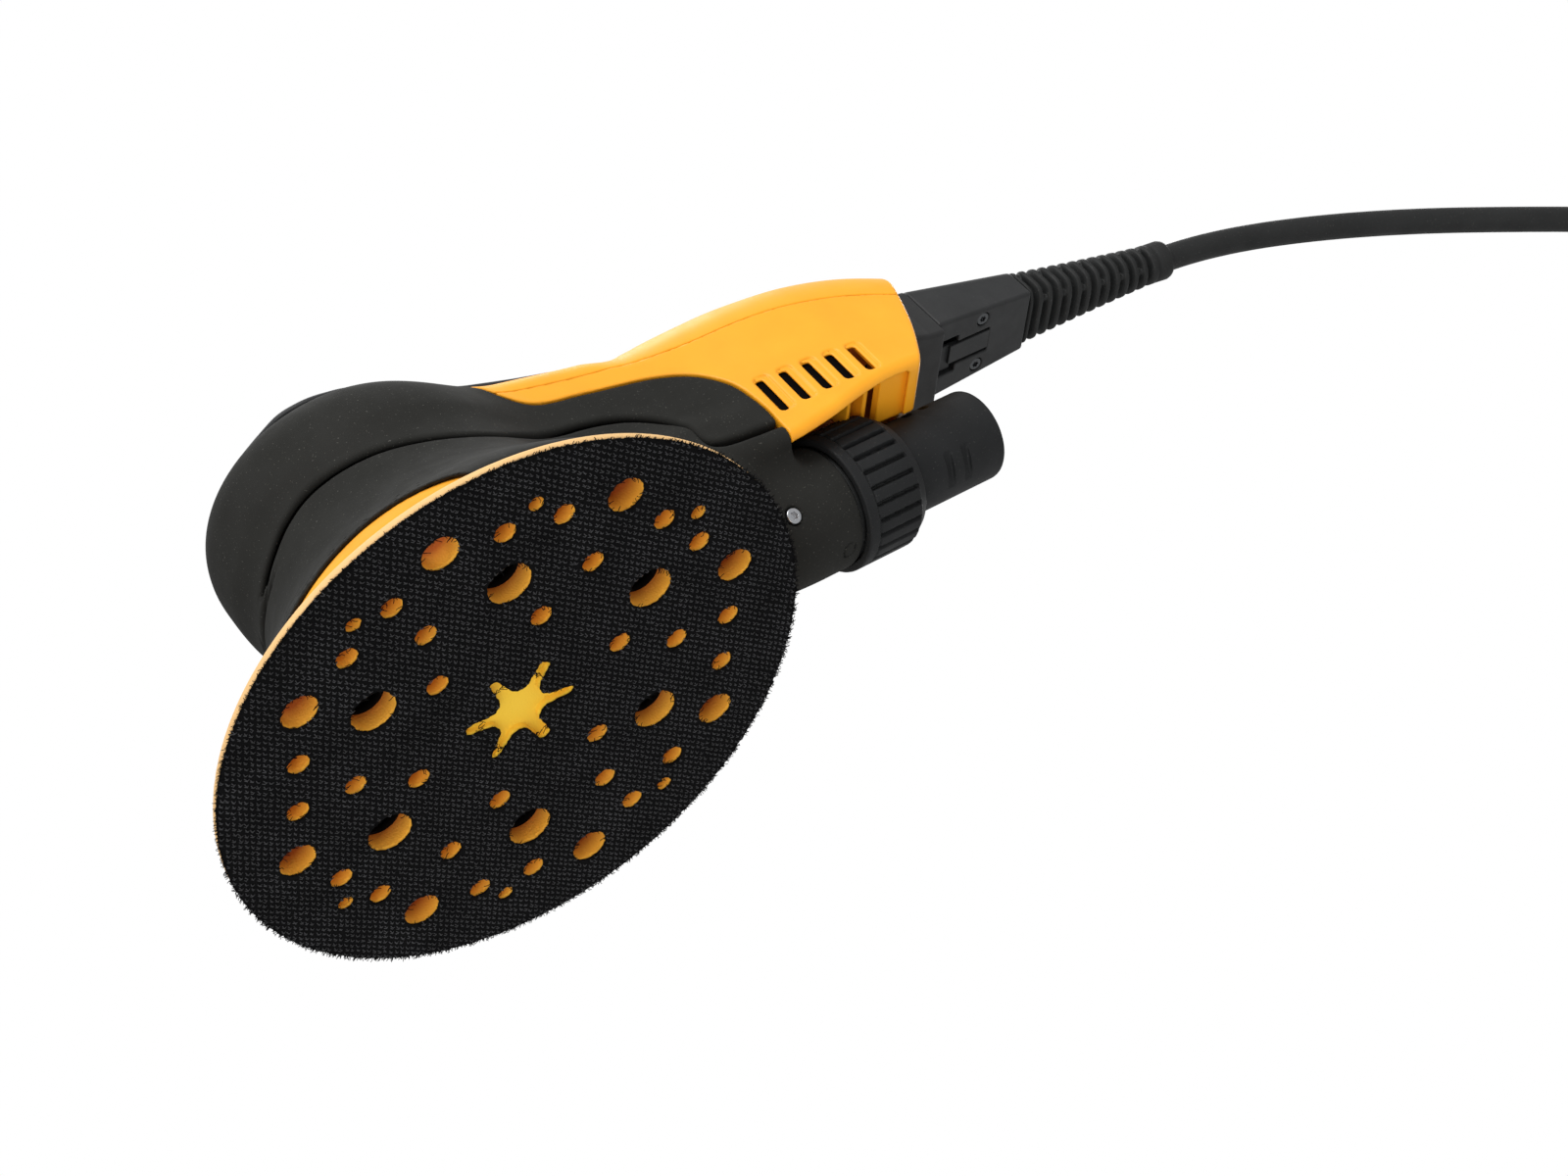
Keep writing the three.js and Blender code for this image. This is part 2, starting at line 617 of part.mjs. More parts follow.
function lever() {
  const boss = box([-28, -22], [-11, 11], [82.2, 91.2]);
  return cut(join(leverPlate(), boss), pivotHole(1.8, 12));
}

const SPRING_X = 46;

function leverSpring() {
  const turns = 4;
  const [bottom, top, radius, wire] = [85.1, 89.6, 3.2, 0.45];
  const points = [];
  for (let i = 0; i <= turns * 10; i++) {
    const p = polar(radius, i * 36);
    points.push(new THREE.Vector3(p.x, p.y, bottom + ((top - bottom) * i) / (turns * 10)));
  }
  const section = new THREE.Shape().absarc(0, 0, wire, 0, 2 * Math.PI);
  const path = new THREE.CatmullRomCurve3(points);
  const wound = { steps: turns * 10, extrudePath: path, curveSegments: 3 };
  return new THREE.ExtrudeGeometry(section, wound).translate(SPRING_X, 0, 0);
}

const BUTTONS = { minus_button: [-11, 3.6], power_button: [0, 4.2], plus_button: [11, 3.6] };
const LED_OFFSET = -15.4;

function keypadBezel() {
  const plate = raised(roundedRectangle(KEYPAD_SIZE[0], KEYPAD_SIZE[1], 4.7), KEYPAD_FLOOR + GAP, 92.4, 4);
  const holes = Object.values(BUTTONS).map(([x, radius]) =>
    cylinder(radius + 0.35, 80, 100, 20).translate(x, 0, 0),
  );
  const lensHole = cylinder(1.1, 80, 100, 10).translate(LED_OFFSET, 0, 0);
  return cut(plate, ...holes, lensHole).translate(KEYPAD_X, 0, 0);
}

function keyButton([x, radius]) {
  const profile = [[0, 90.8], [radius, 90.8], [radius, 92.9], [radius - 0.6, 93.3], [0, 93.5]];
  return turned(profile, 20).translate(KEYPAD_X + x, 0, 0);
}

// ---------------------------------------------------------------- dust port fittings
function swivelCollar() {
  const ribs = 20;
  const outline = [];
  for (let i = 0; i < ribs; i++) {
    const at = (i * 360) / ribs;
    outline.push(polar(COLLAR_RADIUS - 0.7, at), polar(COLLAR_RADIUS - 0.7, at + 3.4));
    outline.push(polar(COLLAR_RADIUS, at + 4.2), polar(COLLAR_RADIUS, at + 14.2));
  }
  const sleeve = raised(new THREE.Shape(outline), 3, COLLAR_LENGTH, 1);
  const limit = turned([[0, -1], [19, -1], [19, 17.4], [15.6, COLLAR_LENGTH], [0, COLLAR_LENGTH]], 22);
  const front = cylinder(COLLAR_RADIUS, 0, 3.2, 36);
  const bore = turned([[0, -1], [15.9, -1], [15.9, 14], [12.7, 14.6], [12.7, 30], [0, 30]], 24);
  return turnedOnPort(cut(common(join(front, sleeve), limit), bore).translate(0, 0, COLLAR_START));
}

function hoseFitting() {
  const [bore, flange] = [10.4, 15.3];
  const profile = [
    [bore, 101.5], [flange, 101.5], [flange, 104.2], [HOSE_RADIUS, 104.6], [HOSE_RADIUS, HOSE_END - 0.8],
    [HOSE_RADIUS - 0.8, HOSE_END], [bore, HOSE_END], [bore, 101.5],
  ];
  const windows = [22, 142, 262].flatMap((turn) =>
    [132.8, 138.6].map((station) =>
      onPort(box([station - 1.5, station + 1.5], [-5, 5], [-20, 0]).rotateX(-radians(turn))),
    ),
  );
  return cut(turnedOnPort(turned(profile, 32)), ...windows);
}

const portSeal = () => turnedOnPort(ring(12.8, 15.2, 99.75, 101.2, 32));

// ---------------------------------------------------------------- mains connector
const CONNECTOR_HALF = [[CONNECTOR_START, 12.6], [CONNECTOR_END, 9.6]];
const CONNECTOR_BOTTOM = [[CONNECTOR_START, 63.8], [CONNECTOR_END, 67.6]];
const CONNECTOR_TOP = [[CONNECTOR_START, 82], [CONNECTOR_END, 79.8]];
const linear = ([[x0, v0], [x1, v1]], x) => v0 + ((v1 - v0) * (x - x0)) / (x1 - x0);

function socketFrame() {
  const rings = [
    sectionRing(138, SOCKET_HALF - GAP, SOCKET_BOTTOM + GAP, SOCKET_TOP - GAP, 2, 1, 2),
    sectionRing(150, SOCKET_HALF - GAP, SOCKET_BOTTOM + GAP, SOCKET_TOP - GAP, 2, 1, 2),
    sectionRing(CONNECTOR_START - GAP, 12.8, 63.6, SOCKET_TOP - GAP, 3, 1, 2),
  ];
  return cut(loft(rings), box([145, 170], [-9, 9], [67, 79.6]));
}

// Things that lie along X beside the connector's axis, one on each side.
const besideAxis = (geometry, side) =>
  geometry.rotateY(Math.PI / 2).translate(0, side * 4.5, CORD_Z - 0.3);
const socketPin = (side) => besideAxis(cylinder(1.2, 145.3, 155, 10), side);

function connectorSection(x) {
  const lines = [CONNECTOR_HALF, CONNECTOR_BOTTOM, CONNECTOR_TOP];
  const [half, bottom, top] = lines.map((line) => linear(line, x));
  return sectionRing(x, half, bottom, top, 3, 1, 3);
}

const LATCH_PIVOT_X = 178;
const CONNECTOR_SCREW_X = 175.5;
const CONNECTOR_SCREW_Y = 7.6;

function connectorBody() {
  const nose = box([147, 160], [-8.7, 8.7], [67.3, 79.3]);
  const body = join(loft([connectorSection(CONNECTOR_START), connectorSection(CONNECTOR_END)]), nose);
  const latchSpace = box([150, 178.6], [-3.8, 3.8], [60, 69.6]);
  const thumbSpace = box([150, 167], [-6, 6], [60, 67.2]);
  const pins = [-1, 1].map((side) => besideAxis(cylinder(1.5, 140, 157, 10), side));
  const seats = [-1, 1].map((side) =>
    cylinder(2.2, 60, 67.4, 14).translate(CONNECTOR_SCREW_X, side * CONNECTOR_SCREW_Y, 0),
  );
  const relief = box([CONNECTOR_START - 14, CONNECTOR_START], [-6, 6], [60, 67.2]);
  return cut(body, latchSpace, thumbSpace, relief, ...pins, ...seats);
}

const connectorScrew = (side) =>
  cut(cylinder(1.9, 65.9, 67.1, 14), cylinder(0.9, 60, 66.4, 6))
    .translate(CONNECTOR_SCREW_X, side * CONNECTOR_SCREW_Y, 0);

// Springy tongue with a thumb pad at its front, let into the connector's underside.
function connectorLatch() {
  const at = (x) => linear(CONNECTOR_BOTTOM, x);
  const front = CONNECTOR_START + 2 * GAP;
  const tongue = [front, LATCH_PIVOT_X].map((x) =>
    sectionRing(x, 3.3, at(x) + 0.1, at(x) + 1.9, 0.3, 0.3, 1),
  );
  const pad = [front, 166].map((x) => sectionRing(x, 5.4, at(x) - 0.7, at(x) + 1.6, 0.5, 0.5, 2));
  return join(loft(tongue), loft(pad));
}

const RELIEF_RIBS = 13;
const RELIEF_SIDES = 12;

// Ribbed, tapered boot: boxy where it leaves the connector and round where the cord comes out.
function strainRelief() {
  const start = CONNECTOR_END + GAP;
  const ribbed = 45;
  const ringAt = (x, shrink) => {
    const t = Math.min((x - start) / ribbed, 1);
    const half = THREE.MathUtils.lerp(9.4, 5.6, t) - shrink;
    const rise = THREE.MathUtils.lerp(6.1, 5.6, t) - shrink;
    const power = THREE.MathUtils.lerp(0.4, 1, t);
    return Array.from({ length: RELIEF_SIDES }, (_, k) => {
      const angle = (2 * Math.PI * (k + 0.5)) / RELIEF_SIDES;
      const [c, s] = [Math.cos(angle), Math.sin(angle)];
      const y = half * Math.sign(c) * Math.abs(c) ** power;
      const z = rise * Math.sign(s) * Math.abs(s) ** power;
      return new THREE.Vector3(x, y, CORD_Z + z);
    });
  };
  const rings = [ringAt(start, 0)];
  const pitch = ribbed / RELIEF_RIBS;
  for (let i = 0; i < RELIEF_RIBS; i++) {
    const x = start + i * pitch;
    rings.push(ringAt(x + 0.65 * pitch, 1.2), ringAt(x + pitch, 0));
  }
  rings.push(ringAt(RELIEF_END - 1, 0), ringAt(RELIEF_END, 0.9));
  return loft(rings);
}

// ---------------------------------------------------------------- cord, coil and plug
const COIL_OUTER_TURN = COIL_INNER_TURN + (COIL_LAYER_TURNS - COIL_CLIMB) * CORD_DIAMETER;
const COIL_HEIGHT = COIL_LAYERS * CORD_DIAMETER;
// From the boot, level at first, down under its own weight and along the floor to the coil.
const CORD_ROUTE = [
  [246.3, 0, 73.6], [254, 0, 73.5], [264, 0, 72.7], [276, 0, 70.8], [288, 0, 68], [300, 0, 64.6],
  [312, 0, 60.6], [324, 0, 56.1], [336, 0, 51.1], [348, 0, 45.7], [360, 0, 40.1], [372, 0, 34.3],
  [384, 0, 28.6], [396, 0, 23], [408, 0, 17.8], [420, 0, 13.2], [432, 0, 9.6], [443, 0, 7],
  [453, 0, 5.5], [462, 0, 5.05],
];
// From the coil's top layer down and round beside it to the floor, then up into the plug's boot.
const TAIL_ROUTE = [
  [462, 0, 27.55], [472, 0, 27.3], [482, -0.6, 26], [492, -3.3, 23.5], [501, -8.6, 20], [508, -16, 16],
  [512.5, -25, 12.2], [514, -34.5, 8.8], [512.4, -44, 6.2], [507.6, -52.8, 4.6], [500.2, -60, 3.8],
  [491, -65.2, 3.8], [481, -67.7, 4.8], [471, -68, 7.4], [462, -68, 10.4], [453.5, -68, 12.5],
  [447.5, -68, 13],
];
const PLUG_PLACE = [447.2, -68, 13]; // where the boot begins; the plug points back along the tool

function coilRing(grow) {
  const inner = COIL_INNER_TURN - CORD_DIAMETER / 2 - grow;
  const outer = COIL_OUTER_TURN + CORD_DIAMETER / 2 + grow;
  const height = COIL_LIFT + COIL_HEIGHT;
  return ring(inner, outer, COIL_LIFT - grow, height + grow, 48).translate(...COIL_CENTRE, 0);
}

// The cord's own thickness along a route, ending at the coil's surface.
function cordTube(route, steps) {
  const sides = 8;
  const corner = (_, i) => polar(CORD_DIAMETER / 2, ((i + 0.5) * 360) / sides);
  const section = new THREE.Shape(Array.from({ length: sides }, corner));
  const path = new THREE.CatmullRomCurve3(route.map((p) => new THREE.Vector3(...p)));
  return cut(new THREE.ExtrudeGeometry(section, { steps, extrudePath: path }), coilRing(GAP));
}

function coilTie() {
  const band = cut(coilRing(1.3), coilRing(GAP));
  const [x, y] = COIL_CENTRE;
  return common(band, box([x - 7, x + 7], [y, y + 80], [-1, 40]));
}

const PLUG_BOOT = 20;
const PLUG_LENGTH = 34;
const PIN_SPACING = 19;

function toPlug(geometry) {
  return geometry.rotateZ(Math.PI).translate(...PLUG_PLACE);
}

const plugBoot = () =>
  toPlug(turned([[0, 0], [5, 0], [7.4, PLUG_BOOT], [0, PLUG_BOOT]], 16).rotateY(Math.PI / 2));

function plugBody() {
  const stations = [[0, 9.5, 9.5, 6], [5, 13, 11.4, 7], [20, 17.2, 13, 8], [PLUG_LENGTH, 17.6, 13, 8]];
  const rings = stations.map(([x, half, rise, corner]) =>
    sectionRing(PLUG_BOOT + GAP + x, half, -rise, rise, corner, corner, 3),
  );
  return toPlug(loft(rings));
}

function plugPin(side) {
  const start = PLUG_BOOT + PLUG_LENGTH + 2 * GAP;
  const profile = [[0, start], [2.4, start], [2.4, start + 17.4], [1.4, start + 19], [0, start + 19]];
  const pin = turned(profile, 12).rotateY(Math.PI / 2);
  return toPlug(pin.translate(0, (side * PIN_SPACING) / 2, 0));
}

// ---------------------------------------------------------------- electronics in the handle
const BOARD_Z = 60;

function heatsink() {
  const fins = Array.from({ length: 6 }, (_, i) =>
    box([62, 88], [-14 + i * 5, -12.4 + i * 5], [BOARD_Z + 4, 74]),
  );
  return join(box([62, 88], [-14, 13], [BOARD_Z + 1.9, BOARD_Z + 5]), ...fins);
}

const capacitor = (side) =>
  cylinder(6.4, 0, 24, 18).rotateY(Math.PI / 2).translate(98, side * 8, BOARD_Z + 1.9 + 6.4);

// ---------------------------------------------------------------- assembly
const sander = new THREE.Group();

function add(name, geometry, material) {
  const mesh = new THREE.Mesh(geometryOf(solid(geometry)), material);
  mesh.name = name;
  sander.add(mesh);
}

const sides = { left: -1, right: 1 };

const yellow = yellowShell();
add("front_grip", frontGrip(), GRIP);
add("dust_shroud", dustShroud(), BLACK);
add("handle_housing", handleHousing(yellow), YELLOW);
add("top_cover", topCover(yellow), YELLOW);
add("intake_grille", intakeGrille(), ORANGE);
add("inner_chassis", innerChassis(), YELLOW);
add("brake_seal", brakeSeal(), RUBBER);
for (const [name, side] of Object.entries(sides)) add("port_screw_" + name, portScrew(side), STEEL);

add("hook_face", hookFace().translate(PAD_X, 0, 0), HOOK);
add("pad_foam", padFoam().translate(PAD_X, 0, 0), FOAM);
add("pad_plate", padPlate().translate(PAD_X, 0, 0), BLACK);
add("pad_stud", padStud().translate(PAD_X, 0, 0), STEEL);
add("pad_spindle", padSpindle().translate(PAD_X, 0, 0), STEEL);

add("spindle_bearing_lower", ring(6.3, 11, 17, 23).translate(PAD_X, 0, 0), STEEL);
add("spindle_bearing_upper", ring(6.3, 11, 24, 30).translate(PAD_X, 0, 0), STEEL);
add("eccentric_housing", eccentricHousing(), ALUMINIUM);
add("counterweight", counterweight(), BRASS);
add("motor_shaft", cylinder(SHAFT, 31.8, 86, 20), STEEL);
add("cooling_fan", coolingFan(), BLACK);
add("rotor_core", ring(SHAFT + GAP, 13.6, STACK_BOTTOM, STACK_TOP, 30), ALUMINIUM);
add("rotor_magnet_ring", ring(14, 17, STACK_BOTTOM, STACK_TOP, 36), STEEL);

add("motor_bracket", motorBracket(), ALUMINIUM);
add("lower_bearing", ring(SHAFT + GAP, 11, 45, 50), STEEL);
add("upper_bearing", ring(SHAFT + GAP, 11, 79.4, 84.3), STEEL);
add("motor_can", turned(CAN_PROFILE, 32), ALUMINIUM);
add("stator_core", statorCore(), STEEL);
add("winding_lower", ring(20, 31, 50.6, STACK_BOTTOM - GAP, 36), COPPER);
add("winding_upper", ring(20, 28, STACK_TOP + GAP, 75.4, 36), COPPER);

add("lever", lever(), BLACK);
add("lever_pin", pivotHole(1.5, 15.6), STEEL);
add("lever_spring", leverSpring(), STEEL);
add("keypad_bezel", keypadBezel(), BLACK);
for (const [name, place] of Object.entries(BUTTONS)) add(name, keyButton(place), RUBBER);
add("status_led", cylinder(0.8, 90.2, 92.7, 10).translate(KEYPAD_X + LED_OFFSET, 0, 0), LENS);

add("port_seal", portSeal(), RUBBER);
add("swivel_collar", swivelCollar(), BLACK);
add("hose_fitting", hoseFitting(), BLACK);

add("controller_board", box([60, 128], [-16, 16], [BOARD_Z, BOARD_Z + 1.6]), BOARD);
add("board_heatsink", heatsink(), ALUMINIUM);
for (const [name, side] of Object.entries(sides)) add("capacitor_" + name, capacitor(side), BLACK);

add("socket_frame", socketFrame(), BLACK);
for (const [name, side] of Object.entries(sides)) add("socket_pin_" + name, socketPin(side), BRASS);
add("connector_body", connectorBody(), BLACK);
for (const [name, side] of Object.entries(sides)) {
  add("connector_screw_" + name, connectorScrew(side), STEEL);
}
add("connector_latch", connectorLatch(), BLACK);
add("strain_relief", strainRelief(), RUBBER);
add("cord_tube", cordTube(CORD_ROUTE, 34), RUBBER);
add("cord_coil", coilRing(0), RUBBER);
add("cord_tail", cordTube(TAIL_ROUTE, 26), RUBBER);
add("coil_tie", coilTie(), BLACK);
add("plug_boot", plugBoot(), RUBBER);
add("plug_body", plugBody(), RUBBER);
for (const [name, side] of Object.entries(sides)) add("plug_pin_" + name, plugPin(side), BRASS);

sander.position.x = -FOOTPRINT_MIDDLE_X;
export default sander;
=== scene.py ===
# Corded random-orbit sander with its detachable mains lead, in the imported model's frame.
# Shapes below are given in millimetres about the motor axis (x = y = 0, pad face at z = 0, handle along
# +X) and are moved into the shared frame, in metres, as each mesh is made.
import math

import bpy
import numpy as np
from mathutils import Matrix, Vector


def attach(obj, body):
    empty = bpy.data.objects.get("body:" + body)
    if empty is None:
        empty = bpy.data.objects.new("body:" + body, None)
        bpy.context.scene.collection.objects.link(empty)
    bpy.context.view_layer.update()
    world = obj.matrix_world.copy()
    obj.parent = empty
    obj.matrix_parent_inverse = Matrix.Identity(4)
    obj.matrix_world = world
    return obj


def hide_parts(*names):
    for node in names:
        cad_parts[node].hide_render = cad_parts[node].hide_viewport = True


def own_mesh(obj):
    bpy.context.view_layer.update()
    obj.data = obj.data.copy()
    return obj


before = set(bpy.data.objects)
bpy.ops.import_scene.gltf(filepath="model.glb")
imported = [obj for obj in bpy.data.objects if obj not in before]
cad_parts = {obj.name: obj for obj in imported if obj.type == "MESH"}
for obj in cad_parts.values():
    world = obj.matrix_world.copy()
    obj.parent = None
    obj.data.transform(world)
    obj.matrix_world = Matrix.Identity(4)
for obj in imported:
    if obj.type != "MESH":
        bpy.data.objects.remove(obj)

MM = 0.001
MOTOR_AXIS_X = -84.25  # the motor axis in the shared frame, mm
PAD_X, PAD_RADIUS = -2.5, 75  # the pad's own centre, off the motor axis by the eccentric's throw
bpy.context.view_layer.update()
scene = bpy.context.scene


# ---------------------------------------------------------------- camera
def make_camera():
    data = bpy.data.cameras.new("camera")
    data.lens, data.sensor_width = 66.868, 36
    data.clip_start, data.clip_end = 0.02, 50
    camera = bpy.data.objects.new("camera", data)
    camera.location = (-0.332754, -0.466882, -0.405721)
    camera.rotation_euler = [math.radians(a) for a in (134.65674, 33.12699, -6.27674)]
    scene.collection.objects.link(camera)
    scene.camera = camera


make_camera()


# ---------------------------------------------------------------- meshes
def to_frame(points):
    """Tool millimetres to shared-frame metres."""
    return (np.asarray(points, float) + (MOTOR_AXIS_X, 0, 0)) * MM


def piece(name, body, points, faces, material, replaces=(), slot=None, normals=None, smooth=True):
    mesh = bpy.data.meshes.new(name)
    points = to_frame(points)
    faces = np.asarray(faces, np.int32)
    mesh.vertices.add(len(points))
    mesh.vertices.foreach_set("co", points.astype(np.float32).ravel())
    mesh.loops.add(faces.size)
    mesh.loops.foreach_set("vertex_index", faces.ravel())
    mesh.polygons.add(len(faces))
    mesh.polygons.foreach_set("loop_start", np.arange(0, faces.size, faces.shape[1], dtype=np.int32))
    mesh.update(calc_edges=True)
    mesh.validate()
    mesh.polygons.foreach_set("use_smooth", np.full(len(mesh.polygons), smooth))
    if normals is not None and len(mesh.vertices) == len(normals):
        mesh.normals_split_custom_set_from_vertices(normals.tolist())
    made = bpy.data.objects.new(name, mesh)
    scene.collection.objects.link(made)
    made.data.materials.append(material)
    return placed(made, body, replaces, slot)


def placed(made, body, replaces=(), slot=None):
    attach(made, body)
    if replaces:
        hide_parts(*replaces)
    return made


def shifted(axis, start, count):
    """Slices that take count samples from start along one axis of a grid."""
    return tuple(slice(start, start + count) if k == axis else slice(None) for k in range(3))


def nets(field, low, high, step):
    """Quads on the surface where the field is zero, by surface nets, then drawn onto that surface."""
    step = np.broadcast_to(np.asarray(step, float), 3)
    axes = [np.arange(a, b + s, s, dtype=np.float32) for a, b, s in zip(low, high, step)]
    values = field(*np.meshgrid(*axes, indexing="ij")).astype(np.float32)
    inside = values < 0
    cells = np.array(values.shape) - 1
    total = np.zeros((*cells, 3), np.float32)
    count = np.zeros(cells, np.float32)
    crossings = []
    for axis in range(3):
        near, far = shifted(axis, 0, cells[axis]), shifted(axis, 1, cells[axis])
        cross = inside[near] != inside[far]
        with np.errstate(divide="ignore", invalid="ignore"):
            share = np.where(cross, values[near] / (values[near] - values[far]), 0)
        crossings.append(cross)
        u, v = [k for k in range(3) if k != axis]
        for du in (0, 1):
            for dv in (0, 1):
                at = [slice(None)] * 3
                at[u] = slice(du, du + cells[u])
                at[v] = slice(dv, dv + cells[v])
                hit = cross[tuple(at)]
                count += hit
                total[..., axis] += share[tuple(at)]
                total[..., u] += hit * du
                total[..., v] += hit * dv
    active = count > 0
    index = np.full(active.shape, -1, np.int64)
    index[active] = np.arange(int(active.sum()))
    points = (np.argwhere(active) + total[active] / count[active][:, None]) * step
    points = points + np.array([a[0] for a in axes])
    quads = []
    for axis in range(3):
        u, v = (axis + 1) % 3, (axis + 2) % 3
        at = np.argwhere(crossings[axis])
        kept = (at[:, u] > 0) & (at[:, v] > 0) & (at[:, u] < cells[u]) & (at[:, v] < cells[v])
        at = at[kept]
        back_u, back_v = np.eye(3, dtype=int)[u], np.eye(3, dtype=int)[v]
        corners = [at - back_u - back_v, at - back_v, at, at - back_u]
        quad = np.stack([index[tuple(c.T)] for c in corners], 1)
        turn = ~inside[tuple(at.T)]
        quad[turn] = quad[turn][:, ::-1]
        quads.append(quad)
    return drawn_on(field, points, step.min()), np.concatenate(quads)


def slope_of(field, points, reach=0.06):
    """Gradient of the field at the points."""
    columns = []
    for axis in range(3):
        ahead, behind = points.copy(), points.copy()
        ahead[:, axis] += reach
        behind[:, axis] -= reach
        columns.append((field(*ahead.T) - field(*behind.T)) / (2 * reach))
    return np.stack(columns, 1)


def drawn_on(field, points, step):
    for _ in range(2):
        slope = slope_of(field, points)
        size = np.maximum((slope**2).sum(1), 0.05)
        move = -slope * (field(*points.T) / size)[:, None]
        reach = np.maximum(np.linalg.norm(move, axis=1) / (0.4 * step), 1)
        points = points + move / reach[:, None]
    return points


def carved(name, body, field, low, high, step, material, replaces=(), slot=None):
    points, quads = nets(field, low, high, step)
    slope = slope_of(field, points)
    normals = slope / np.maximum(np.linalg.norm(slope, axis=1), 1e-6)[:, None]
    return piece(name, body, points, quads, material, replaces, slot, normals)


def lofted(rings, closed=False):
    """Quads over a stack of rings; closed joins the last ring to the first, else both ends are capped."""
    rings = np.asarray(rings, float)
    levels, around = rings.shape[:2]
    points = rings.reshape(-1, 3)
    quads = []
    for i in range(levels if closed else levels - 1):
        k = np.arange(around)
        a, b = i * around, ((i + 1) % levels) * around
        quads.append(np.stack([a + k, b + k, b + (k + 1) % around, a + (k + 1) % around], 1))
    faces = np.concatenate(quads)
    if not closed:
        ends = len(points)
        points = np.concatenate([points, rings[0].mean(0)[None], rings[-1].mean(0)[None]])
        last = (levels - 1) * around
        for j in range(0, around, 2):
            n, m = (j + 1) % around, (j + 2) % around
            faces = np.concatenate([faces, [[ends, j, n, m], [ends + 1, last + m, last + n, last + j]]])
    return points, faces


def rounded(corners, radius, steps=4, closed=True):
    """An outline with its corners rounded; where it is open, its two ends stay."""
    corners = np.asarray(corners, float)
    count, line = len(corners), []
    for i, corner in enumerate(corners):
        if not closed and i in (0, count - 1):
            line.append(corner)
            continue
        before, after = corners[i - 1] - corner, corners[(i + 1) % count] - corner
        reach = min(radius, 0.45 * np.linalg.norm(before), 0.45 * np.linalg.norm(after))
        a = corner + before / np.linalg.norm(before) * reach
        b = corner + after / np.linalg.norm(after) * reach
        for t in np.linspace(0, 1, steps + 1):
            line.append((1 - t) ** 2 * a + 2 * t * (1 - t) * corner + t * t * b)
    return np.array(line)


def turned(profile, segments, place, closed=True):
    """A (radius, station) outline turned about an axis; place maps (station, y, z) to the tool."""
    angles = np.arange(segments) * 2 * math.pi / segments
    rings = [
        place(np.full(segments, s), r * np.cos(angles), r * np.sin(angles)) for r, s in profile
    ]
    return lofted(rings, closed)


def on_z(x=0.0, y=0.0):
    return lambda s, a, b: np.stack([x + a, y + b, s], -1)


PORT_TILT = math.radians(6.8)
PORT_AXIS_Z = 16.4


def on_port(s, a, b):
    """Station along the port axis, a sideways and b up from it."""
    return np.stack(
        [
            s * math.cos(PORT_TILT) - b * math.sin(PORT_TILT),
            a,
            PORT_AXIS_Z + s * math.sin(PORT_TILT) + b * math.cos(PORT_TILT),
        ],
        -1,
    )


def port_place(x, z):
    """Station and height on the port axis of a point in the tool."""
    cos, sin = math.cos(PORT_TILT), math.sin(PORT_TILT)
    return x * cos + (z - PORT_AXIS_Z) * sin, (z - PORT_AXIS_Z) * cos - x * sin


# ---------------------------------------------------------------- fields: distances in millimetres
def along(table, x):
    """Smooth interpolation through (x, value) pairs."""
    xs, values = np.array(table, float).T
    slope = np.gradient(values)
    step = np.gradient(xs)
    slope = slope / step
    i = np.clip(np.searchsorted(xs, x) - 1, 0, len(xs) - 2)
    h = xs[i + 1] - xs[i]
    t = np.clip((x - xs[i]) / h, 0, 1)
    t2, t3 = t * t, t * t * t
    return (
        (2 * t3 - 3 * t2 + 1) * values[i]
        + (t3 - 2 * t2 + t) * h * slope[i]
        + (3 * t2 - 2 * t3) * values[i + 1]
        + (t3 - t2) * h * slope[i + 1]
    )


def smooth_line(points, steps=8):
    """A denser line through the points."""
    points = np.array(points, float)
    t = np.linspace(0, len(points) - 1, (len(points) - 1) * steps + 1)
    table = np.arange(len(points))
    return np.stack([along(list(zip(table, points[:, k])), t) for k in (0, 1)], 1)


def blend_union(a, b, k):
    h = np.clip(0.5 + 0.5 * (b - a) / k, 0, 1)
    return b + (a - b) * h - k * h * (1 - h)


def both(a, b, radius=0.0):
    """What is inside both, with the edge rounded."""
    if not radius:
        return np.maximum(a, b)
    u, v = np.maximum(a + radius, 0), np.maximum(b + radius, 0)
    return np.minimum(np.maximum(a, b) + radius, 0) + np.hypot(u, v) - radius


def less(a, b, radius=0.0):
    return both(a, -b, radius)


def box_field(x, y, z, low, high, radius=0.0):
    parts = [
        np.abs(c - (a + b) / 2) - (b - a) / 2 + radius for c, a, b in zip((x, y, z), low, high)
    ]
    outside = np.sqrt(sum(np.maximum(p, 0) ** 2 for p in parts))
    return outside + np.minimum(np.maximum.reduce(parts), 0) - radius


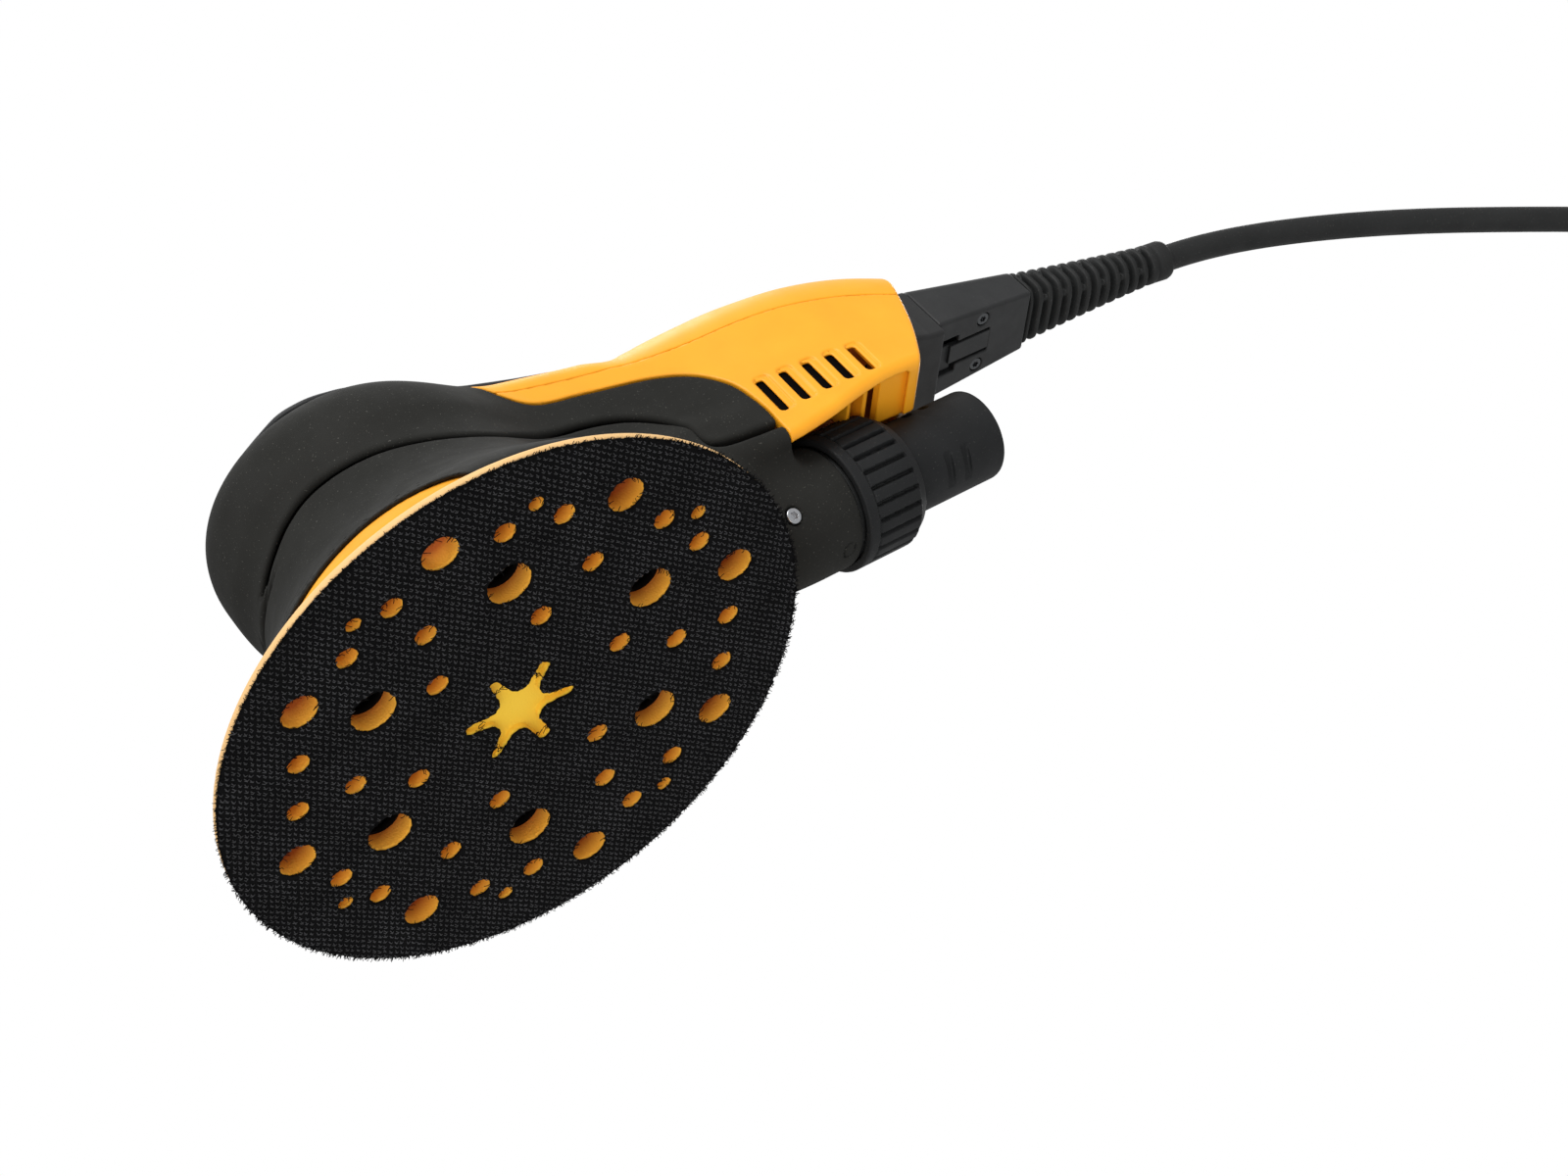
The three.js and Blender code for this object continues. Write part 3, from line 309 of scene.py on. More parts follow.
def outline_field(outline, margin=12.0, cell=0.5):
    """Signed distance to a closed outline in a plane, kept on a fine grid and looked up."""
    line = np.asarray(outline, float)
    low, high = line.min(0) - margin, line.max(0) + margin
    grid = [np.arange(a, b + cell, cell) for a, b in zip(low, high)]
    u, v = np.meshgrid(*grid, indexing="ij")
    nearest, inside = np.full(u.shape, 1e9), np.zeros(u.shape, bool)
    for (ax, ay), (bx, by) in zip(line, np.roll(line, -1, 0)):
        dx, dy = bx - ax, by - ay
        t = np.clip(((u - ax) * dx + (v - ay) * dy) / max(dx * dx + dy * dy, 1e-12), 0, 1)
        nearest = np.minimum(nearest, np.hypot(u - ax - t * dx, v - ay - t * dy))
        if dy:
            inside ^= ((ay > v) != (by > v)) & (u < (v - ay) * dx / dy + ax)
    values = np.where(inside, -nearest, nearest)

    def field(a, b):
        s = np.clip((a - low[0]) / cell, 0, len(grid[0]) - 1.001)
        t = np.clip((b - low[1]) / cell, 0, len(grid[1]) - 1.001)
        i, j = s.astype(int), t.astype(int)
        s, t = s - i, t - j
        near = values[i, j] * (1 - t) + values[i, j + 1] * t
        far = values[i + 1, j] * (1 - t) + values[i + 1, j + 1] * t
        return near * (1 - s) + far * s

    return field


# ---------------------------------------------------------------- casing
WALL = 2.6
SKIN = 1.25  # the soft lower skirt is thin, over the yellow inner ring
SKIRT_EDGE = 10.0
NECK_END = 88.6
PARTITION_TOP = 46.5
DUCT_END = 99.4

# Head and skirt as level circles that lean forward towards the crown: height, radius, centre x.
HEAD_CIRCLES = [
    (10, 66.4, 0), (14, 65.2, 0), (20, 60.8, 0), (29, 53.2, 0), (38, 47, 0), (48, 42.4, -0.4),
    (58, 40.6, -1), (66, 41, -1.8), (73, 40.2, -3), (79, 38.4, -4.6), (84, 35, -6), (87.4, 29.6, -6.6),
    (89.3, 23, -7), (90.3, 9.2, -7), (90.4, 0, -7),
]
# Neck and handle along X: half width, top, bottom edge and top corner radius.
HANDLE_HALF = [(0, 30), (25, 27.5), (45, 25), (60, 24), (80, 25), (100, 27.5), (120, 28.6), (152, 27.2)]
HANDLE_TOP = [
    (0, 83.5), (30, 84.2), (58, 84.2), (67, 84.6), (74, 88.4), (82, 90.6), (94, 91.5), (106, 91.5),
    (123, 90.4), (137, 87.4), (152, 81),
]
HANDLE_BOTTOM = [
    (0, 34), (60, 32), (88, 29.6), (100, 31.2), (113, 34.8), (122, 36.9), (134, 38.4), (152, 42),
]
HANDLE_CORNER = [(0, 15), (30, 9), (58, 8.5), (66, 12), (76, 18.4), (100, 20), (152, 19)]
LOWER_CORNER = 3.0
THROAT_HALF = [(20, 30), (45, 25.4), (60, 24.2), (70, 24), (80, 23.6), (88.2, 22.4)]
THROAT_BOTTOM = [(20, 16), (45, 16), (60, 18), (70, 22), (80, 27), (88.2, 29.6)]
THROAT_TOP = 46.0
# Dust duct, wide and flat under the neck and round at the port.
DUCT_HALF = [(40, 26), (58, 24.6), (70, 20.4), (79, 17), (88, 16.3), (99.4, 16.2)]
DUCT_RISE = [(40, 20), (58, 19.4), (70, 18.4), (79, 16.8), (88, 16.3), (99.4, 16.2)]
DUCT_DROP = [(40, 8), (58, 9.5), (70, 12), (79, 15), (88, 16.2), (99.4, 16.2)]
GROOVE_HALF = 0.9  # half the width of the groove between grip and skirt
# Split lines seen from the side: x, z.
GROOVE_LINE = [
    (-90, 51), (-42.5, 51.5), (-40.5, 53.6), (-37, 55.4), (-32, 57.2), (-25, 57.6), (-12, 55.4), (0, 52),
    (10, 49.6), (18, 49.6), (28, 53.2), (38, 56.2), (48, 57), (57, 55.4), (64, 51), (68, 45.5),
    (70.4, 36), (88.6, 35.2),
]
COLOUR_LINE = [
    (88.4, 35.7), (88.5, 42), (87.3, 51), (84.6, 57), (79.5, 62.4), (72, 66), (63, 67.8), (52, 68.6),
    (43, 68.4), (37.6, 69.4), (33.4, 72.4), (30, 77), (27, 83), (25, 100),
]
COVER_LINE = [
    (20, 75), (58, 74.8), (70, 73.8), (86, 73), (104, 72.8), (116, 71.6), (130, 68.8), (142, 64.6), (160, 57),
]
REAR_LINE = [(126, 24), (130, 34), (133.5, 40), (139.4, 52), (144.2, 66), (146.6, 76), (147, 96)]


def moved(line, dx, dz):
    return np.asarray(line, float) + (dx, dz)


def head_profile():
    circles = np.array([(r, z) for z, r, _ in HEAD_CIRCLES])
    side = smooth_line(circles)
    return np.concatenate([side, [(-8, 90.4), (-8, -12), (66.4, -12)]])


head_outline = outline_field(head_profile())
HEAD_LEAN = [(z, lean) for z, _, lean in HEAD_CIRCLES[:-1]]


def head_field(x, y, z):
    return head_outline(np.hypot(x - along(HEAD_LEAN, z), y), z)


def rounded_section(y, z, half, bottom, top, corner, lower_corner):
    middle, rise = (top + bottom) / 2, (top - bottom) / 2
    radius = np.where(z > middle, corner, lower_corner)
    p = np.abs(y) - half + radius
    q = np.abs(z - middle) - rise + radius
    return np.minimum(np.maximum(p, q), 0) + np.hypot(np.maximum(p, 0), np.maximum(q, 0)) - radius


def handle_field(x, y, z, inset=0.0, bottom=None):
    low = along(HANDLE_BOTTOM, x) if bottom is None else bottom
    corner = along(HANDLE_CORNER, x) - inset
    half, top = along(HANDLE_HALF, x) - inset, along(HANDLE_TOP, x) - inset
    return rounded_section(y, z, half, low, top, corner, LOWER_CORNER if bottom is None else 1.0)


def throat_field(x, y, z, inset=0.0):
    half, low = along(THROAT_HALF, x) - inset, along(THROAT_BOTTOM, x) + inset
    return both(rounded_section(y, z, half, low, THROAT_TOP, 4, 8), 20 - x)


def duct_field(x, y, z, inset=0.0):
    station, rise = port_place(x, z)
    a = along(DUCT_HALF, station) - inset
    b = np.where(rise > 0, along(DUCT_RISE, station), along(DUCT_DROP, station)) - inset
    near = np.sqrt((y / a) ** 2 + (rise / b) ** 2)
    far = np.sqrt((y / a**2) ** 2 + (rise / b**2) ** 2)
    return both(near * (near - 1) / np.maximum(far, 1e-6), 38 - station)


def black_outer(x, y, z):
    neck = blend_union(head_field(x, y, z), both(handle_field(x, y, z), 2 - x), 9)
    neck = blend_union(neck, throat_field(x, y, z), 6)
    neck = both(neck, x - NECK_END, 0.8)
    duct = both(duct_field(x, y, z), port_place(x, z)[0] - DUCT_END, 0.6)
    return blend_union(neck, duct, 7)


def casing_cavity(x, y, z, skirt_wall=WALL):
    wall = skirt_wall + (WALL - skirt_wall) * np.clip((z - 27) / 3, 0, 1)
    head = head_field(x, y, z) + wall
    neck = both(both(handle_field(x, y, z, WALL, PARTITION_TOP), 2 - x), x - NECK_END - 4)
    throat = both(throat_field(x, y, z, WALL), x - NECK_END + WALL)
    duct = duct_field(x, y, z, WALL)
    return np.minimum.reduce([head, neck, throat, duct])


grip_region = outline_field(
    np.concatenate(
        [
            moved(smooth_line(GROOVE_LINE), 0, GROOVE_HALF),
            moved(smooth_line(COLOUR_LINE), -0.12, -0.12),
            [(-90, 100)],
        ]
    )
)
shroud_region = outline_field(
    np.concatenate(
        [
            moved(smooth_line(GROOVE_LINE), 0, -GROOVE_HALF),
            [(88.8, 35), (88.8, 70), (130, 70), (130, -30), (-90, -30)],
        ]
    )
)
LEVER_PIVOT = (-25, 84.6)


def grip_field(x, y, z):
    shell = less(black_outer(x, y, z), casing_cavity(x, y, z))
    pocket = box_field(x, y, z, (-30.5, -12, 79), (-19.5, 12, 110), 1.0)
    return less(both(shell, grip_region(x, z), 1.3), pocket, 0.4)


# The scallop cut in the skirt: its direction, radius and the height of its centre.
SCALLOP_TURN = 124
SCALLOP_RADIUS = 36
SCALLOP_Z = -11.5
PORT_SCREW_STATION = 81
PORT_SCREW_ANGLE = -36


def radial(x, y, angle):
    """Distance out and across for a point, for a line from the motor axis at that angle."""
    a = math.radians(angle)
    return x * math.cos(a) + y * math.sin(a), y * math.cos(a) - x * math.sin(a)


def port_side(x, y, z, side):
    """Distance out along a port screw's axis, and from that axis."""
    station, rise = port_place(x, z)
    out, across = radial(y * side, rise, PORT_SCREW_ANGLE)
    return out, np.hypot(station - PORT_SCREW_STATION, across)


def shroud_field(x, y, z):
    shell = less(black_outer(x, y, z), casing_cavity(x, y, z, SKIN))
    shell = both(shell, shroud_region(x, z), 1.2)
    shell = both(shell, SKIRT_EDGE - z, 0.4)
    for angle in (-SCALLOP_TURN, SCALLOP_TURN):
        out, across = radial(x, y, angle)
        notch = both(np.hypot(across, z - SCALLOP_Z) - SCALLOP_RADIUS, 40 - out)
        shell = less(shell, notch, 0.5)
    for side in (-1, 1):
        out, away = port_side(x, y, z, side)
        shell = less(shell, both(away - 2.4, 14.9 - out), 0.4)
    station, rise = port_place(x, z)
    mark = np.abs(np.hypot(station - 95, y) - 1.9) - 0.22
    return less(shell, np.maximum(np.maximum(mark, rise), 15.85 + rise), 0.15)


def yellow_outer(x, y, z):
    return blend_union(head_field(x, y, z), both(handle_field(x, y, z), 2 - x), 9)


VENT_XS = [92.4 + 6.65 * i for i in range(5)]
VENT_WIDTH = 2.2
VENT_WALL = 1.2  # the side walls are thinner round the vents
VENT_LOW, VENT_HIGH = 38.6, 51.2  # the front vent's ends; each next one is a little shorter
VENT_RISE, VENT_DROP = 0.45, 0.2
VENT_POCKET = (105.2, 15.7), (45.9, 6.9)  # the thinned wall: middle and half length, along x and z
REAR_FLOOR, REAR_FLOOR_X = (39.6, 42), 121.5  # closes the housing over the hose
SOCKET_LOW, SOCKET_HIGH = (120, -14, 62.6), (175, 14, 82)
colour_region = outline_field(
    np.concatenate([moved(smooth_line(COLOUR_LINE), 0.12, 0.12), [(170, 100), (170, 10), (88.6, 10)]])
)
rear_region = outline_field(np.concatenate([smooth_line(REAR_LINE), [(5, 96), (5, 10), (123, 10)]]))


def yellow_field(x, y, z):
    head = head_field(x, y, z) + WALL
    neck = both(both(handle_field(x, y, z, WALL, PARTITION_TOP), 2 - x), x - NECK_END)
    rear = both(handle_field(x, y, z, WALL, 5.0), np.maximum(NECK_END - x, rear_region(x, z) + 3), 1.0)
    shell = less(yellow_outer(x, y, z), np.minimum.reduce([head, neck, rear]), 0.9)
    shell = both(both(shell, colour_region(x, z), 0.5), rear_region(x, z), 0.7)
    return less(shell, box_field(x, y, z, SOCKET_LOW, SOCKET_HIGH, 1.5), 0.4)


above_cover_line = outline_field(
    np.concatenate([smooth_line(COVER_LINE), [(160, 110), (20, 110)]]), 60
)


def housing_field(x, y, z):
    shell = both(yellow_field(x, y, z), -above_cover_line(x, z) + 0.02, 0.35)
    inside = np.abs(y) - along(HANDLE_HALF, x) + VENT_WALL
    (mid_x, half_x), (mid_z, half_z) = VENT_POCKET
    pocket = np.maximum(np.abs(x - mid_x) - half_x, np.abs(z - mid_z) - half_z)
    shell = less(shell, both(inside, pocket, 0.3))
    for i, at in enumerate(VENT_XS):
        low, high = VENT_LOW + VENT_RISE * i, VENT_HIGH - VENT_DROP * i
        half = VENT_WIDTH / 2
        slot = box_field(x, y, z, (at - half, -60, low), (at + half, 60, high), 0.6)
        dish = box_field(x, y, z, (at - half - 0.2, -60, low), (at + half + 1.5, 60, high + 0.8), 1.2)
        face = along(HANDLE_HALF, x) - 0.4 - np.abs(y)
        shell = less(less(shell, np.maximum(dish, face), 0.8), slot, 0.35)
    station, rise = port_place(x, z)
    passage = both(np.where(rise > 0, np.hypot(y, rise), np.abs(y)) - 13.2, 118 - station)
    floor = both(handle_field(x, y, z, WALL - 0.3, 5.0), rear_region(x, z) + 2.5)
    plate = np.maximum(np.maximum(REAR_FLOOR[0] - z, z - REAR_FLOOR[1]), REAR_FLOOR_X - x)
    ribs = np.minimum(np.abs(x - 117.4), np.abs(x - 112.6)) - 0.7
    ribs = np.maximum(np.maximum(ribs, 39.6 - z), np.maximum(z - 52, 11 - np.abs(y)))
    floor = both(floor, np.minimum(plate, ribs), 0.3)
    return less(np.minimum(shell, floor), passage, 0.5)


KEYPAD_X, KEYPAD_FLOOR = 97, 89.8


def flat_rounded(x, y, width, height, radius):
    p, q = np.abs(x) - width / 2 + radius, np.abs(y) - height / 2 + radius
    return np.hypot(np.maximum(p, 0), np.maximum(q, 0)) + np.minimum(np.maximum(p, q), 0) - radius


def cover_field(x, y, z):
    shell = both(yellow_field(x, y, z), above_cover_line(x, z) + 0.02, 0.35)
    pocket = np.maximum(flat_rounded(x - KEYPAD_X, y, 35.6, 15.6, 5), KEYPAD_FLOOR - z)
    return less(shell, pocket, 0.4)


# ---------------------------------------------------------------- materials
def linear(*levels):
    """A colour of 0 to 255 display levels as linear light."""
    return [((v / 255 + 0.055) / 1.055) ** 2.4 if v > 10 else v / 255 / 12.92 for v in levels] + [1]


def node(tree, kind, settings=None, **inputs):
    """A node with its settings made and its inputs set or linked; in_0 is the first input."""
    made = tree.nodes.new(kind)
    for key, value in (settings or {}).items():
        setattr(made, key, value)
    for key, value in inputs.items():
        socket = made.inputs[int(key[3:])] if key.startswith("in_") else made.inputs[key.replace("_", " ")]
        if isinstance(value, bpy.types.NodeSocket):
            tree.links.new(value, socket)
        else:
            socket.default_value = value
    return made


def object_place(tree):
    return node(tree, "ShaderNodeTexCoord").outputs["Object"]


def noise(tree, place, size, detail=3.0, stretch=None):
    """Noise whose features are about size millimetres across."""
    if stretch:
        place = node(tree, "ShaderNodeMapping", Vector=place, Scale=stretch).outputs[0]
    scale = 1 / (size * MM)
    return node(tree, "ShaderNodeTexNoise", Vector=place, Scale=scale, Detail=detail).outputs["Fac"]


def ramp(tree, factor, *stops):
    made = node(tree, "ShaderNodeValToRGB", Fac=factor)
    band = made.color_ramp
    while len(band.elements) < len(stops):
        band.elements.new(0.5)
    for element, (at, colour) in zip(band.elements, stops):
        element.position = at
        element.color = colour if hasattr(colour, "__len__") else [colour] * 3 + [1]
    return made.outputs["Color"]


def mixed(tree, factor, a, b):
    made = node(tree, "ShaderNodeMix", {"data_type": "RGBA"}, in_0=factor)
    for index, value in ((6, a), (7, b)):
        if isinstance(value, bpy.types.NodeSocket):
            tree.links.new(value, made.inputs[index])
        else:
            made.inputs[index].default_value = value
    return made.outputs[2]


def times(tree, a, b):
    return node(tree, "ShaderNodeMath", {"operation": "MULTIPLY"}, in_0=a, in_1=b).outputs[0]


def plus(tree, a, b):
    return node(tree, "ShaderNodeMath", {"operation": "ADD"}, in_0=a, in_1=b).outputs[0]


def share_of(tree, value, low, high):
    """How far a distance lies from low to high millimetres, from 0 to 1."""
    limits = {"From_Min": low * MM, "From_Max": high * MM}
    return node(tree, "ShaderNodeMapRange", Value=value, **limits).outputs[0]


def moulded(
    name, colour, dark=None, roughness=(0.4, 0.6), grain=0.35, depth=0.05, dust=0.0, **sockets
):
    """Moulded plastic or rubber: cloudy colour, fine spark-eroded grain, and dust specks."""
    made = bpy.data.materials.new(name)
    made.use_nodes = True
    tree = made.node_tree
    shader = tree.nodes["Principled BSDF"]
    for key, value in sockets.items():
        shader.inputs[key.replace("_", " ")].default_value = value
    place = object_place(tree)
    cloud = noise(tree, place, 14, 4)
    dark = dark or [c * 0.8 for c in colour[:3]] + [1]
    base = ramp(tree, cloud, (0.3, dark), (0.7, colour))
    if dust:
        specks = ramp(tree, noise(tree, place, 0.45, 1), (0.7, 0.0), (0.76, dust))
        base = mixed(tree, specks, base, linear(150, 148, 140))
    tree.links.new(base, shader.inputs["Base Color"])
    rough = ramp(tree, noise(tree, place, 5, 5), (0.3, roughness[0]), (0.7, roughness[1]))
    tree.links.new(rough, shader.inputs["Roughness"])
    pebbles = noise(tree, place, grain, 2)
    bump = node(tree, "ShaderNodeBump", Height=pebbles, Strength=0.6, Distance=depth * MM)
    tree.links.new(bump.outputs[0], shader.inputs["Normal"])
    return made


def foam(name):
    """Open foam: orange walls, paler on the disc's outer edge, and painted shade that turns the walls brown
    deep in the holes.
    """
    made = moulded(name, linear(255, 188, 62), linear(250, 176, 50), (0.85, 0.95), 0.5, 0.35)
    tree = made.node_tree
    shader = tree.nodes["Principled BSDF"]
    base = shader.inputs["Base Color"].links[0].from_socket
    parts = node(tree, "ShaderNodeSeparateXYZ", Vector=object_place(tree)).outputs
    from_centre = plus(tree, parts[0], -(PAD_X + MOTOR_AXIS_X) * MM)
    flat = node(tree, "ShaderNodeCombineXYZ", X=from_centre, Y=parts[1])
    away = node(tree, "ShaderNodeVectorMath", {"operation": "LENGTH"}, in_0=flat.outputs[0]).outputs[1]
    # painted shade: away from the rim, the foam darkens to brown the higher it lies inside the holes
    inner = share_of(tree, away, PAD_RADIUS - 7, PAD_RADIUS - 9.5)
    deep = share_of(tree, parts[2], 2.2, 6.8)
    deep = ramp(tree, times(tree, deep, inner), (0.0, 0.0), (1.0, 0.9))
    base = mixed(tree, deep, base, linear(172, 72, 14))
    edge = share_of(tree, away, PAD_RADIUS - 3, PAD_RADIUS - 1.5)
    base = mixed(tree, edge, base, linear(230, 186, 126))
    core = share_of(tree, away, 16, 14)
    tree.links.new(mixed(tree, core, base, linear(255, 208, 60)), shader.inputs["Base Color"])
    return made


def metal(name, colour, roughness=(0.25, 0.45), brushed=(1, 1, 1)):
    made = moulded(name, colour, roughness=roughness, grain=0.5, depth=0.01, Metallic=1.0)
    tree = made.node_tree
    streaks = noise(tree, object_place(tree), 0.6, 2, brushed)
    bump = node(tree, "ShaderNodeBump", Height=streaks, Strength=0.3, Distance=0.02 * MM)
    tree.links.new(bump.outputs[0], tree.nodes["Principled BSDF"].inputs["Normal"])
    return made


GRIP = moulded("grip_rubber", linear(41, 41, 39), linear(36, 36, 34), (0.8, 0.9), 0.4, 0.07, dust=0.2,
               Specular_IOR_Level=0.12)
BLACK = moulded("black_plastic", linear(31, 32, 33), linear(25, 26, 27), (0.6, 0.72), 0.3, 0.05, dust=0.1,
                Specular_IOR_Level=0.22)
SATIN = moulded("satin_black", linear(38, 39, 40), linear(32, 33, 34), (0.46, 0.58), 0.3, 0.03, dust=0.08,
                Specular_IOR_Level=0.32)
YELLOW = moulded("yellow_plastic", linear(249, 171, 31), linear(246, 163, 26), (0.4, 0.52), 0.5, 0.03,
                 Specular_IOR_Level=0.35, Coat_Weight=0.08, Coat_Roughness=0.35)
ORANGE = moulded("orange_plastic", linear(196, 104, 30), linear(176, 90, 24), (0.5, 0.65), 0.5, 0.03)
# painted shade: a near-black sheet material that stands for the shade inside the vents, the skirt groove and
# the dust holes
SHADE_LINER = moulded("painted_shade_liner", linear(8, 5, 4), linear(5, 3, 3), (0.8, 0.9), 0.5, 0.03,
                Specular_IOR_Level=0.05)
INNER = moulded("inner_yellow", linear(242, 166, 46), linear(234, 152, 38), (0.75, 0.88), 0.5, 0.03,
                Specular_IOR_Level=0.12)
RUBBER = moulded("soft_rubber", linear(30, 31, 31), linear(23, 24, 24), (0.55, 0.72), 0.35, 0.05, dust=0.12,
                 Specular_IOR_Level=0.32)
FOAM = foam("pad_foam")
HOOK = moulded("hook_fabric", linear(11, 11, 12), linear(6, 6, 7), (0.9, 0.98), 0.35, 0.2,
               Specular_IOR_Level=0.1)
# painted highlight: the loops are made paler than the black backing to stand for glints of light on them
GLINT_LOOPS = moulded("hook_loops_painted_glint", linear(58, 58, 61), linear(22, 22, 24), (0.35, 0.5), 0.4, 0.03,
                Specular_IOR_Level=0.6)
DARK_STEEL = metal("blackened_steel", linear(96, 98, 100), (0.3, 0.5))
STEEL = metal("steel", linear(196, 198, 202))
ALUMINIUM = metal("aluminium", linear(176, 180, 184), (0.35, 0.55), (1, 1, 30))
BRASS = metal("brass", linear(214, 178, 104))
COPPER = metal("copper_wire", linear(190, 116, 70), brushed=(1, 1, 40))
BOARD = moulded("circuit_board", linear(40, 112, 74), linear(28, 92, 60), (0.3, 0.5), 1.2, 0.03)
LENS = moulded("led_lens", linear(150, 230, 160), linear(130, 214, 140), (0.1, 0.2), 0.5, 0.005)


# ---------------------------------------------------------------- stage and light
def make_stage():
    size = 3.0
    mesh = bpy.data.meshes.new("floor")
    corners = [(-size, -size, 0), (size, -size, 0), (size, size, 0), (-size, size, 0)]
    mesh.from_pydata(corners, [], [(0, 1, 2, 3)])
    floor = bpy.data.objects.new("floor", mesh)
    scene.collection.objects.link(floor)
    floor.location.z = -0.0004
    floor.visible_shadow = floor.visible_diffuse = floor.visible_glossy = floor.visible_transmission = False
    paper = bpy.data.materials.new("floor_paper")
    paper.use_nodes = True
    tree = paper.node_tree
    shader = tree.nodes["Principled BSDF"]
    shader.inputs["Roughness"].default_value = 0.9
    cloud = noise(tree, object_place(tree), 60, 3)
    tone = ramp(tree, cloud, (0.3, linear(226, 226, 224)), (0.7, linear(232, 232, 231)))
    tree.links.new(tone, shader.inputs["Base Color"])
    under = node(tree, "ShaderNodeNewGeometry").outputs["Backfacing"]
    clear = node(tree, "ShaderNodeBsdfTransparent")
    seen = node(tree, "ShaderNodeMixShader", in_0=under, in_1=shader.outputs[0], in_2=clear.outputs[0])
    tree.links.new(seen.outputs[0], tree.nodes["Material Output"].inputs["Surface"])
    mesh.materials.append(paper)


def make_world():
    world = bpy.data.worlds.new("studio")
    scene.world = world
    world.use_nodes = True
    tree = world.node_tree
    tree.nodes.clear()
    seen = node(tree, "ShaderNodeBackground", Color=(1, 1, 1, 1), Strength=1.0)
    light = node(tree, "ShaderNodeBackground", Color=(1, 1, 1, 1), Strength=0.62)
    ray = node(tree, "ShaderNodeLightPath").outputs["Is Camera Ray"]
    both_ways = node(tree, "ShaderNodeMixShader", in_0=ray, in_1=light.outputs[0], in_2=seen.outputs[0])
    output = node(tree, "ShaderNodeOutputWorld")
    tree.links.new(both_ways.outputs[0], output.inputs["Surface"])
    scene.view_settings.view_transform = "Standard"


def softbox(name, place, size, power):
    data = bpy.data.lights.new(name, "AREA")
    data.size, data.energy = size, power
    lamp = bpy.data.objects.new(name, data)
    scene.collection.objects.link(lamp)
    lamp.location = place
    from_lamp = -np.array(place)
    lamp.rotation_euler = Vector(from_lamp).to_track_quat("-Z", "Y").to_euler()


make_stage()
make_world()
softbox("key_light", (-0.45, -1.25, 0.55), 0.7, 14)
softbox("under_light", (-0.9, -0.5, -1.0), 0.9, 7)
softbox("rear_light", (1.1, 0.5, 0.7), 0.6, 9)
softbox("top_light", (0.1, 0.1, 1.4), 0.9, 9)


# ---------------------------------------------------------------- casing pieces
carved("front_grip_skin", "tool", grip_field, (-50, -47, 34), (92, 47, 93), 0.8, GRIP,
       ["front_grip"], "grip_rubber")
carved("dust_shroud_skin", "tool", shroud_field, (-69, -68, 6), (104, 68, 61), 0.8, GRIP,
       ["dust_shroud"], "black_plastic")
carved("handle_housing_skin", "tool", housing_field, (26, -31, 28), (149, 31, 78), 0.55, YELLOW,
       ["handle_housing"], "yellow_plastic")
carved("top_cover_skin", "tool", cover_field, (22, -31, 56), (149, 31, 93), 0.55, YELLOW,
       ["top_cover"], "yellow_plastic")


def vent_shade_liner_field(x, y, z):
    """A dark sheet of painted shade against the inside of the side walls, behind all the vents but the last.
    """
    inner = along(HANDLE_HALF, x) - VENT_WALL - 0.2
    sheet = np.abs(np.abs(y) - inner + 0.35) - 0.35
    return both(sheet, np.maximum(np.abs(x - 102.6) - 12.8, np.abs(z - 45.9) - 6.6), 0.2)


carved("vent_shade_liner", "tool", vent_shade_liner_field, (89.5, -28, 37.5), (116.5, 28, 52.5), 0.5, SHADE_LINER,
       slot="black_plastic")


def groove_shade_backing_field(x, y, z):
    """A dark band of painted shade inside the casing that closes the groove between grip and skirt."""
    depth = np.abs(black_outer(x, y, z) + WALL + 0.5) - 0.4
    return np.maximum(depth, np.maximum(grip_region(x, z), shroud_region(x, z)) - 4)


carved("groove_shade_backing", "tool", groove_shade_backing_field, (-50, -47, 28), (86, 47, 64), 0.7, SHADE_LINER,
       slot="black_plastic")


# ---------------------------------------------------------------- inner ring, screws and seal
def skirt_radius(z, depth):
    return along([(z_, r) for z_, r, _ in HEAD_CIRCLES[:6]], z) - depth


ring_levels = np.linspace(10.7, 28.4, 10)
ring_outline = [(skirt_radius(z, SKIN + 0.3), z) for z in ring_levels]
ring_outline += [(skirt_radius(z, SKIN + 2.8), z) for z in ring_levels[::-1]]
ring_field_2d = outline_field(rounded(ring_outline, 0.4, 2))


def inner_ring_field(x, y, z):
    station, rise = port_place(x, z)
    gate = box_field(station, y, rise, (20, -24, -16), (80, 24, 14), 2.0)
    return less(ring_field_2d(np.hypot(x, y), z), gate, 0.3)


carved("inner_ring", "tool", inner_ring_field, (-68, -68, 9.5), (68, 68, 30), 0.9, INNER,
       ["inner_chassis"], "yellow_plastic")


def screw_field(radius, low, high, lobe=0.28):
    """A pan head about its own axis, out along z, with a six-lobed recess in its face."""

    def field(x, y, z):
        away, angle = np.hypot(x, y), np.arctan2(y, x)
        head = both(away - radius, np.maximum(z - high, low - z), 0.35)
        recess = away - radius * (0.46 + lobe * 0.3 * np.cos(6 * angle))
        return less(head, np.maximum(recess, high - 0.45 * radius - z), 0.08)

    return field


def screw(name, body, radius, low, high, place, replaces, step=0.14, material=STEEL):
    field, r = screw_field(radius, low, high), radius + 0.4
    points, quads = nets(field, (-r, -r, low - 0.4), (r, r, high + 0.4), step)
    piece(name, body, place(points), quads, material, [replaces], "steel")


def port_screw_place(side):
    def place(p):
        a = math.radians(PORT_SCREW_ANGLE)
        out = np.array([math.cos(a), math.sin(a)])
        across = np.array([-math.sin(a), math.cos(a)])
        flat = p[:, 2:3] * out + p[:, 1:2] * across
        return on_port(PORT_SCREW_STATION + p[:, 0] * side, flat[:, 0] * side, flat[:, 1])

    return place


for name, side in (("left", -1), ("right", 1)):
    screw("port_screw_head_" + name, "tool", 2.0, 15.1, 16.4, port_screw_place(side), "port_screw_" + name)

